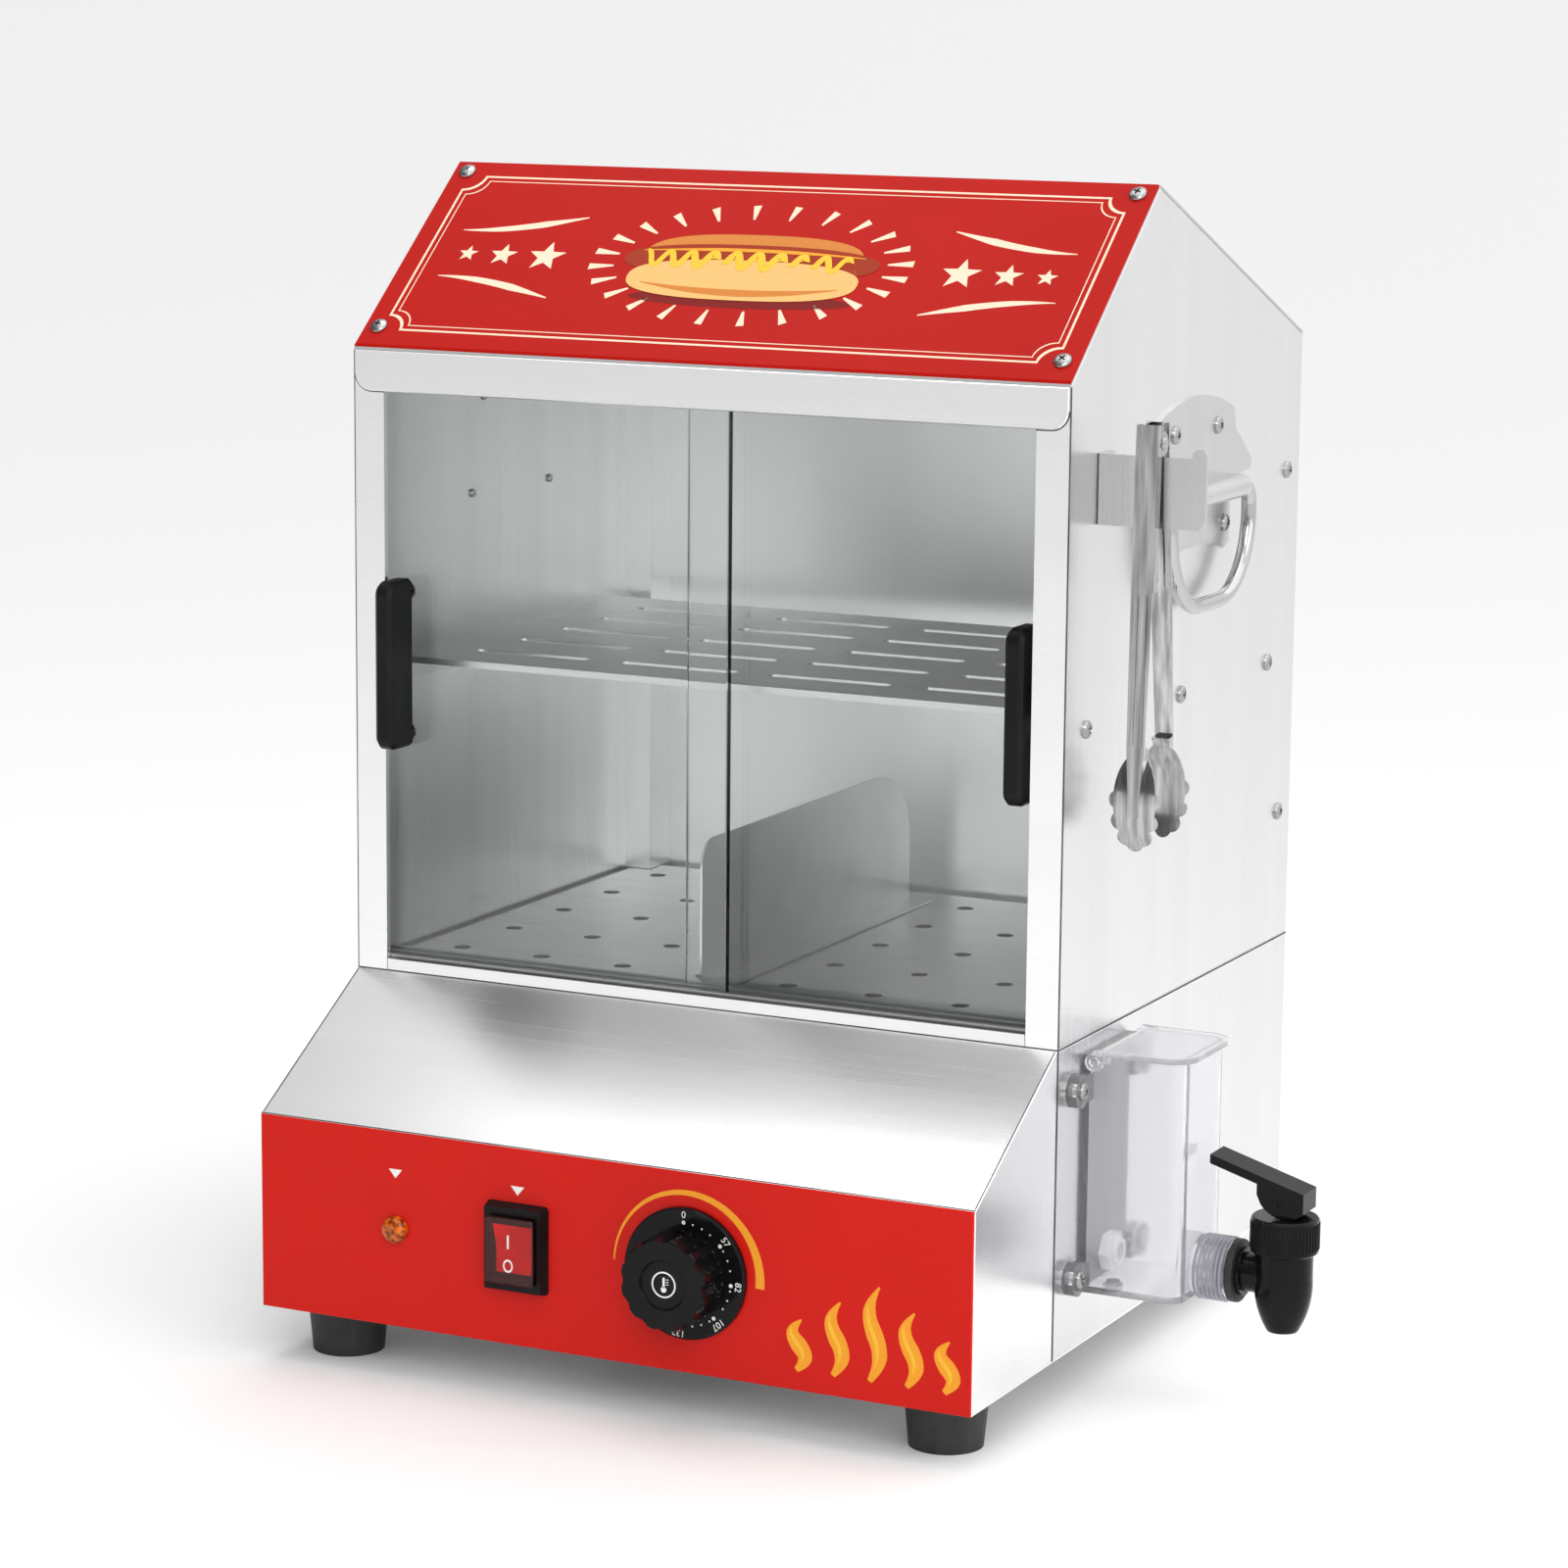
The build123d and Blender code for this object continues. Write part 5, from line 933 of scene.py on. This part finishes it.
lens_low, lens_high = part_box("indicator_lens")
lens_middle = (lens_low + lens_high) / 2
lens_place = facing((lens_middle.x, lens_high.y, lens_middle.z), (1, 0, 0), (0, 0, 1))
lens_radius = (lens_high.x - lens_low.x) / 2 / MM
lens_height = (lens_high.y - lens_low.y) / MM
lens_mesh = faceted_dome("jewelled_lens", lens_radius, LENS_SEAT, lens_height, LENS_ROWS, LENS_COLUMNS)
lens_mesh.transform(lens_place)
lens = settle(piece_from(lens_mesh, "jewelled_lens"), amber_with_painted_glints, "cabinet")
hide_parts("indicator_lens")
print("lens radius:", round(lens_radius, 2), "mm")

# %% [markdown]
# Printed film is a flat curve with a real but tiny thickness, so that it stands on its panel and has
# closed edges. A picture could show the marks too, but its edges blur close up, and an outline stays
# sharp. Inks that overlap are stacked in layers, one film thickness apart.

# %% Helpers for printed film
FILM = 0.06 * MM
LETTER_SCALE = 1.37  # size of a type over the height of its figures


def flat_mesh(curve, place):
    """A closed mesh of a flat curve or text, moved to place."""
    shape = bmesh.new()
    shape.from_mesh(evaluated_mesh(piece_from(curve, "flat_holder")))
    mesh = sealed_mesh(shape, curve.name, weld=WELD)
    mesh.transform(place)
    return mesh


def raised(place, layer):
    """A film's placing matrix: its underside lies layer films above the surface."""
    return place @ Matrix.Translation((0, 0, FILM * (layer + 0.5)))


def film(name, loops, place, made, body="cabinet", layer=0):
    """Printed film from closed loops of millimetre points on a plane; a loop in a loop is a hole."""
    curve = bpy.data.curves.new(name, "CURVE")
    curve.dimensions = "2D"
    curve.fill_mode = "BOTH"
    curve.extrude = FILM / 2
    for loop in loops:
        spline = curve.splines.new("POLY")
        spline.points.add(len(loop) - 1)
        for point, (x, y) in zip(spline.points, loop):
            point.co = (x * MM, y * MM, 0, 1)
        spline.use_cyclic_u = True
    return settle(piece_from(flat_mesh(curve, raised(place, layer)), name), made, body)


def lettering(name, words, place, made, body):
    """Numbers as film: each entry is its text, height in mm, centre in mm and turn in degrees."""
    joined = bmesh.new()
    for text, height, (x, y), turn in words:
        font = bpy.data.curves.new(name, "FONT")
        font.body = text
        font.size = height * MM * LETTER_SCALE
        font.align_x = "CENTER"
        font.align_y = "CENTER"
        font.extrude = FILM / 2
        font.resolution_u = 4
        spot = Matrix.Translation((x * MM, y * MM, 0)) @ Matrix.Rotation(math.radians(turn), 4, "Z")
        joined.from_mesh(flat_mesh(font, raised(place, 0) @ spot))
    return settle(piece_from(sealed_mesh(joined, name), name), made, body)


# %% [markdown]
# Printed marks are drawn as outlines in real millimetres on the plane that carries them. One function
# makes a stroke with a changing width, which serves for steam, swooshes, mustard and the scale round
# the dial. The others make the few closed shapes that a sign painter would cut.

# %% Outlines for printed marks
STAR_NECK = 0.42  # inner radius of a star over its outer one


def stroke(path, widths):
    """The closed outline of a stroke along path; widths are half widths at even steps of it."""
    left, right = [], []
    for index, (x, y) in enumerate(path):
        before, after = path[max(index - 1, 0)], path[min(index + 1, len(path) - 1)]
        run = Vector((after[0] - before[0], after[1] - before[1])).normalized()
        share = index / (len(path) - 1) * (len(widths) - 1)
        step = min(int(share), len(widths) - 2)
        half = widths[step] + (widths[step + 1] - widths[step]) * (share - step)
        left.append((x - run.y * half, y + run.x * half))
        right.append((x + run.y * half, y - run.x * half))
    return left + right[::-1]


def oval(half_width, half_height, centre, squareness=2.0, count=48):
    """A superellipse: round at 2, and squarer above."""
    loop = []
    for across, up in ring_points(1, count):
        x = half_width * math.copysign(abs(across) ** (2 / squareness), across)
        y = half_height * math.copysign(abs(up) ** (2 / squareness), up)
        loop.append((centre[0] + x, centre[1] + y))
    return loop


def star(radius, centre):
    """A five-pointed star that stands upright."""
    tips = [(radius * (STAR_NECK if step % 2 else 1), math.pi * step / 5) for step in range(10)]
    return [(centre[0] + far * math.sin(turn), centre[1] + far * math.cos(turn)) for far, turn in tips]


def ticket(half_width, half_height, centre, scoop, steps=8):
    """A rectangle whose corners are scooped out by a quarter circle."""
    loop = []
    for corner_x, corner_y, start in ((1, -1, 180), (1, 1, 270), (-1, 1, 360), (-1, -1, 90)):
        middle = (centre[0] + corner_x * half_width, centre[1] + corner_y * half_height)
        loop += ring_points(scoop, steps, middle, start, start - 90, closed=False)
    return loop


# %% [markdown]
# Where two sheets meet there is a gap, and in it a shadow: without those dark lines the housing looks
# cast in one piece. A real gap would have to be cut into every sheet, so the shadow is drawn on the
# sheets as a thin dark film, at the edges that the frame gives.

# %% Joint lines and the joints of the slope
UPRIGHT_JOINT = 0.9  # half width, mm
LEVEL_JOINT = 0.4  # half width, mm
FINE_JOINT = 0.3  # half width, mm
SLOPE_EDGE = 0.7
SLOPE_ENDS = (1.2, 1.0)
FOOT_LINE = 0.5

joint_shadow = finish("joint_shadow", (0.03, 0.03, 0.03), {"Roughness": 0.8})
tint(joint_shadow, noise(joint_shadow, 60), (0.02, 0.02, 0.02), (0.09, 0.09, 0.09))


def joints(name, place, *lines):
    """Joint lines on a placing plane, each with its half width and a path of millimetre points."""
    loops = [stroke(path, [half, half]) for half, path in lines]
    film(name, loops, place, joint_shadow)


box_low, box_high = [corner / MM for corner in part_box("control_box")]
header_low, header_high = [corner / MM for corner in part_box("front_header")]
wall_low, wall_high = [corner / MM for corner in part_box("base_side_walls")]
slope_foot = Vector((0, box_low.y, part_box("fascia_panel")[1].z / MM))
slope_run = Vector((0, box_high.y, box_high.z)) - slope_foot

slope_view = facing(slope_foot * MM, (1, 0, 0), slope_run)
reach, edge = slope_run.length - LEVEL_JOINT, box_high.x - SLOPE_EDGE
slope_lines = [(LEVEL_JOINT, [(-box_high.x, reach), (box_high.x, reach)])]
slope_lines += [(FINE_JOINT, [(x, SLOPE_ENDS[0]), (x, reach - SLOPE_ENDS[1])]) for x in (-edge, edge)]
slope_lines += [(FINE_JOINT, [(-box_high.x, FOOT_LINE), (box_high.x, FOOT_LINE)])]
joints("slope_joints", slope_view, *slope_lines)
print("slope:", round(slope_run.length, 1), "mm long")

# %% [markdown]
# The header's lower corners are rounded where it laps the door stiles, and the tank casing meets the
# cabinet and the control box on each side. These lines follow the same edges on both hands, so each is
# written once and mirrored by the sign of x or y.

# %% Joints of the header and the sides
HEADER_CORNER = 8.0
HEADER_END = 15.0
SIDE_GAP = 0.1

joint_y, joint_z = (box_high.y + wall_low.y) / 2, (box_high.z + wall_high.z) / 2
front_view = facing((0, box_high.y * MM, 0), (1, 0, 0), (0, 0, 1))
header_lines = []
for hand, start in ((-1, 180), (1, 360)):
    middle = (hand * (header_high.x - HEADER_CORNER), header_low.z + HEADER_CORNER)
    bend = ring_points(HEADER_CORNER + FINE_JOINT, 8, middle, start, 270, closed=False)
    header_foot = (hand * (header_high.x - HEADER_END), header_low.z - FINE_JOINT)
    header_lines.append((FINE_JOINT, bend + [header_foot]))
joints("header_joints", front_view, *header_lines)

for side, hand in (("left", -1), ("right", 1)):
    side_view = facing((hand * side_plane, 0, 0), (0, hand, 0), (0, 0, 1))
    upright = [(hand * joint_y, box_low.z), (hand * joint_y, header_high.z)]
    level = [(hand * (joint_y + UPRIGHT_JOINT + SIDE_GAP), joint_z), (hand * wall_high.y, joint_z)]
    joints(side + "_side_joints", side_view, (UPRIGHT_JOINT, upright), (LEVEL_JOINT, level))
print("side joint at y:", round(joint_y, 1), "mm and z:", round(joint_z, 1), "mm")

# %% [markdown]
# The sign slopes back over the doors and is printed like an old fair ticket, with a double border. The
# plane for its marks comes from the line that was shot down onto it when its screws were placed.

# %% Sign: a double border
BORDER_LINES = (9.5, 10.6, 12.7, 13.2)  # inset of each edge of the two lines
SCOOP = 9.0

sign_length = (sign_high.y - sign_low.y) / slope_up.y / MM
sign_half = sign_high.x / MM
sign_foot = sign_point - slope_up * (sign_point.y - sign_low.y) / slope_up.y
sign_place = facing(sign_foot, (1, 0, 0), slope_up)
sign_middle = sign_length / 2


def on_sign(name, loops, made, layer=0):
    """Film on the sign panel."""
    film(name, loops, sign_place, made, layer=layer)


border = [
    ticket(sign_half - inset, sign_middle - inset, (0, sign_middle), SCOOP) for inset in BORDER_LINES
]
on_sign("sign_border", border, cream_ink)
print("sign:", round(2 * sign_half), "by", round(sign_length), "mm")

# %% [markdown]
# In its middle stands a filled bun of a design of its own: flat shapes in seven layers, as a sign
# painter builds one up, from the shadow at the back to the mustard on top.

# %% Sign: a bun with rays
RAYS = 24
RAY_INNER = (66, 29)
RAY_OUTER = (78, 38)
SAUSAGE_HALF = 62
BUN_DROP = 4

bun_y = sign_middle - BUN_DROP
rays = []
for step in range(RAYS):
    turn = math.radians(360 / RAYS * (step + 0.5))
    ends = [(x * math.cos(turn), sign_middle + y * math.sin(turn)) for x, y in (RAY_INNER, RAY_OUTER)]
    rays.append(stroke(ends, [0.5, 1.9]))
on_sign("sign_rays", rays, cream_ink)
on_sign("sign_shade", [oval(54, 5, (3, bun_y - 18))], shade_ink)
on_sign("sign_bun_back", [oval(53, 15, (0, bun_y + 8), 2.7)], crust_ink, 1)
on_sign("sign_sausage", [oval(SAUSAGE_HALF, 10.5, (0, bun_y + 6), 2.4)], sausage_ink, 2)
shine = [(x, bun_y + 13 - (x / SAUSAGE_HALF) ** 2 * 3) for x in range(-54, 55, 6)]
on_sign("sign_sausage_shine", [stroke(shine, [0.2, 1.0, 1.0, 0.2])], orange_ink, 3)
on_sign("sign_bun_front", [oval(56, 12.5, (0, bun_y - 6), 2.6)], bread_ink, 4)
crust = [(x, bun_y - 9 - (1 - (x / 50) ** 2) * 5) for x in range(-48, 49, 6)]
on_sign("sign_bun_crust", [stroke(crust, [0.2, 1.6, 2.2, 1.6, 0.2])], crust_ink, 5)
wave = [(0.5 * x, bun_y + 6 + 4.4 * math.sin(x * 0.29)) for x in range(-104, 105)]
on_sign("sign_mustard", [stroke(wave, [1.2, 1.9, 1.9, 1.2])], mustard_ink, 6)
print("sausage:", 2 * SAUSAGE_HALF, "mm long")

# %% [markdown]
# Stars and curved strokes fill the two sides. Each is drawn for one side and mirrored by the sign of its
# x, so both sides stay alike.

# %% Sign: stars and swooshes at the sides
STARS = ((101, 9.5), (123, 7.0), (141, 5.0))  # distance from the middle, radius
SWOOSH_STEPS = 12

side_marks = []
for side in (-1, 1):
    side_marks += [star(radius, (side * along, sign_middle)) for along, radius in STARS]
    for lift in (-1, 1):
        bows = [26 - 11 * math.sin(step / SWOOSH_STEPS * math.pi / 2) for step in range(SWOOSH_STEPS + 1)]
        sweep = [(side * (90 + 5 * step), sign_middle + lift * bow) for step, bow in enumerate(bows)]
        side_marks.append(stroke(sweep, [0.3, 2.0, 1.6, 0.2]))
on_sign("sign_stars", side_marks, cream_ink)
print("side marks:", len(side_marks))

# %% [markdown]
# The fascia carries the controls. Pointers stand over the lamp and the switch, an arc that grows
# thicker round the dial means hotter, and steam rises beside it.

# %% Fascia: pointers, the scale round the dial and rising steam
POINTER_TOP = 95
POINTER_TIP = 91
POINTER_HALF = 3.3
DIAL_ARC = 34.8
STEAM_FOOT = 33.0
STEAM_START = 92
STEAM_PITCH = 17
STEAM_HEIGHTS = (22, 32, 41, 32, 22)
STEAM_LEAN = 0.10
STEAM_SWAY = 3.4

fascia_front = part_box("fascia_panel")[0].y
dial_low, dial_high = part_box("dial_plate")
dial_centre = ((dial_low.x + dial_high.x) / 2 / MM, (dial_low.z + dial_high.z) / 2 / MM)
switch_middle = sum(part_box("switch_housing"), Vector()) / 2 / MM
fascia_place = facing((0, fascia_front, 0), (1, 0, 0), (0, 0, 1))


def on_fascia(name, loops, made, layer=0):
    """Film on the fascia."""
    film(name, loops, fascia_place, made, layer=layer)


pointers = [
    [(x - POINTER_HALF, POINTER_TOP), (x + POINTER_HALF, POINTER_TOP), (x, POINTER_TIP)]
    for x in (lens_middle.x / MM, switch_middle.x)
]
on_fascia("fascia_pointers", pointers, white_ink)
scale_arc = ring_points(DIAL_ARC, 48, dial_centre, 178, -4, closed=False)
on_fascia("fascia_dial_arc", [stroke(scale_arc, [0.3, 0.9, 1.5, 2.1])], orange_ink)

steam, steam_light = [], []
for step, height in enumerate(STEAM_HEIGHTS):
    foot = STEAM_START + STEAM_PITCH * step
    path = [
        (foot + STEAM_LEAN * height * t + STEAM_SWAY * math.sin(t * 2 * math.pi), STEAM_FOOT + height * t)
        for t in [part / 20 for part in range(21)]
    ]
    steam.append(stroke(path, [1.2, 3.4, 3.9, 2.8, 0.4]))
    steam_light.append(stroke([(x - 0.9, y + 0.6) for x, y in path[3:17]], [0.2, 0.9, 0.9, 0.2]))
on_fascia("fascia_steam", steam, orange_ink)
on_fascia("fascia_steam_light", steam_light, mustard_ink, 1)
print("dial at:", [round(part, 1) for part in dial_centre])

# %% [markdown]
# The dial plate stands still behind the knob. Its numbers follow the scale, so they are placed by their
# angle and each is turned to stand upright on its radius. Small dots fill the steps between them.

# %% Dial: numbers at their places on the scale, with dots between them
MARKS = ((0, 0), (57, 50), (82, 95), (107, 140), (132, 185))  # number, degrees from the top
NUMBER_RING = 25.9
NUMBER_HEIGHT = 3.1
DOT_RING = 22.6
DOT_STEP = 11.25
DOT_STEPS = 16
DOT_ROOM = 6

dial_place = facing((dial_centre[0] * MM, dial_low.y, dial_centre[1] * MM), (1, 0, 0), (0, 0, 1))


def on_ring(radius, clockwise):
    """A place on the dial in mm, at an angle clockwise from the top."""
    turn = math.radians(clockwise)
    return radius * math.sin(turn), radius * math.cos(turn)


numbers = [(str(value), NUMBER_HEIGHT, on_ring(NUMBER_RING, angle), -angle) for value, angle in MARKS]
lettering("dial_numbers", numbers, dial_place, white_ink, "cabinet")
dots = [oval(0.9, 0.9, on_ring(DOT_RING, angle), count=12) for _, angle in MARKS]
between = [DOT_STEP * step for step in range(1, DOT_STEPS + 1)]
between = [turn for turn in between if all(abs(turn - angle) > DOT_ROOM for _, angle in MARKS)]
dots += [oval(0.42, 0.42, on_ring(DOT_RING, turn), count=8) for turn in between]
film("dial_dots", dots, dial_place, white_ink)
print("dots:", len(dots))

# %% [markdown]
# The knob has a dished top with a ring and a small thermometer on it. These marks ride on the knob, so
# that they turn with it.

# %% Knob: a ring and a thermometer
KNOB_DISH = 1.5

knob_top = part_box("knob")[0].y + KNOB_DISH * MM
knob_place = facing((dial_centre[0] * MM, knob_top, dial_centre[1] * MM), (1, 0, 0), (0, 0, 1))
KNOB_MARKS = (
    ("knob_ring", [ring_points(5.7, 40), ring_points(5.0, 40)]),
    ("knob_bulb", [oval(1.3, 1.3, (0, -2.1), count=20)]),
    ("knob_stem", [stroke([(0, -1.4), (0, 3.2)], [0.55, 0.55])]),
    ("knob_ticks", [stroke([(1.2, y), (2.3, y)], [0.18, 0.18]) for y in (0.2, 1.3, 2.4)]),
)
for name, mark in KNOB_MARKS:
    film(name, mark, knob_place, white_ink, "thermostat_knob")
print("knob marks:", len(KNOB_MARKS))

# %% [markdown]
# The switch has I and O printed on its clear cover. The cover is curved, so a line is shot at it from
# the front for each mark, and the mark lies square to the face that the line meets.

# %% Switch: I and O printed on its cover
def on_face(name, start, way):
    """A placing matrix where a line first meets a node, square to its face there."""
    point, normal = meets(name, start, way)
    up = Vector((0, 0, 1)) - normal * normal.z
    return facing(point, up.cross(normal), up)


SWITCH_MARKS = (  # name, outlines, height above the switch's middle
    ("switch_on", [stroke([(0, -3.0), (0, 3.0)], [0.45, 0.45])], 4.4),
    ("switch_off", [[(0.82 * x, y) for x, y in ring_points(radius, 28)] for radius in (2.9, 2.1)], -6.2),
)
for name, mark, rise in SWITCH_MARKS:
    mark_start = Vector((switch_middle.x, -1000, switch_middle.z + rise)) * MM
    film(name, mark, on_face("switch_boot", mark_start, (0, 1, 0)), white_ink)
print("switch at x:", round(switch_middle.x, 1), "mm")
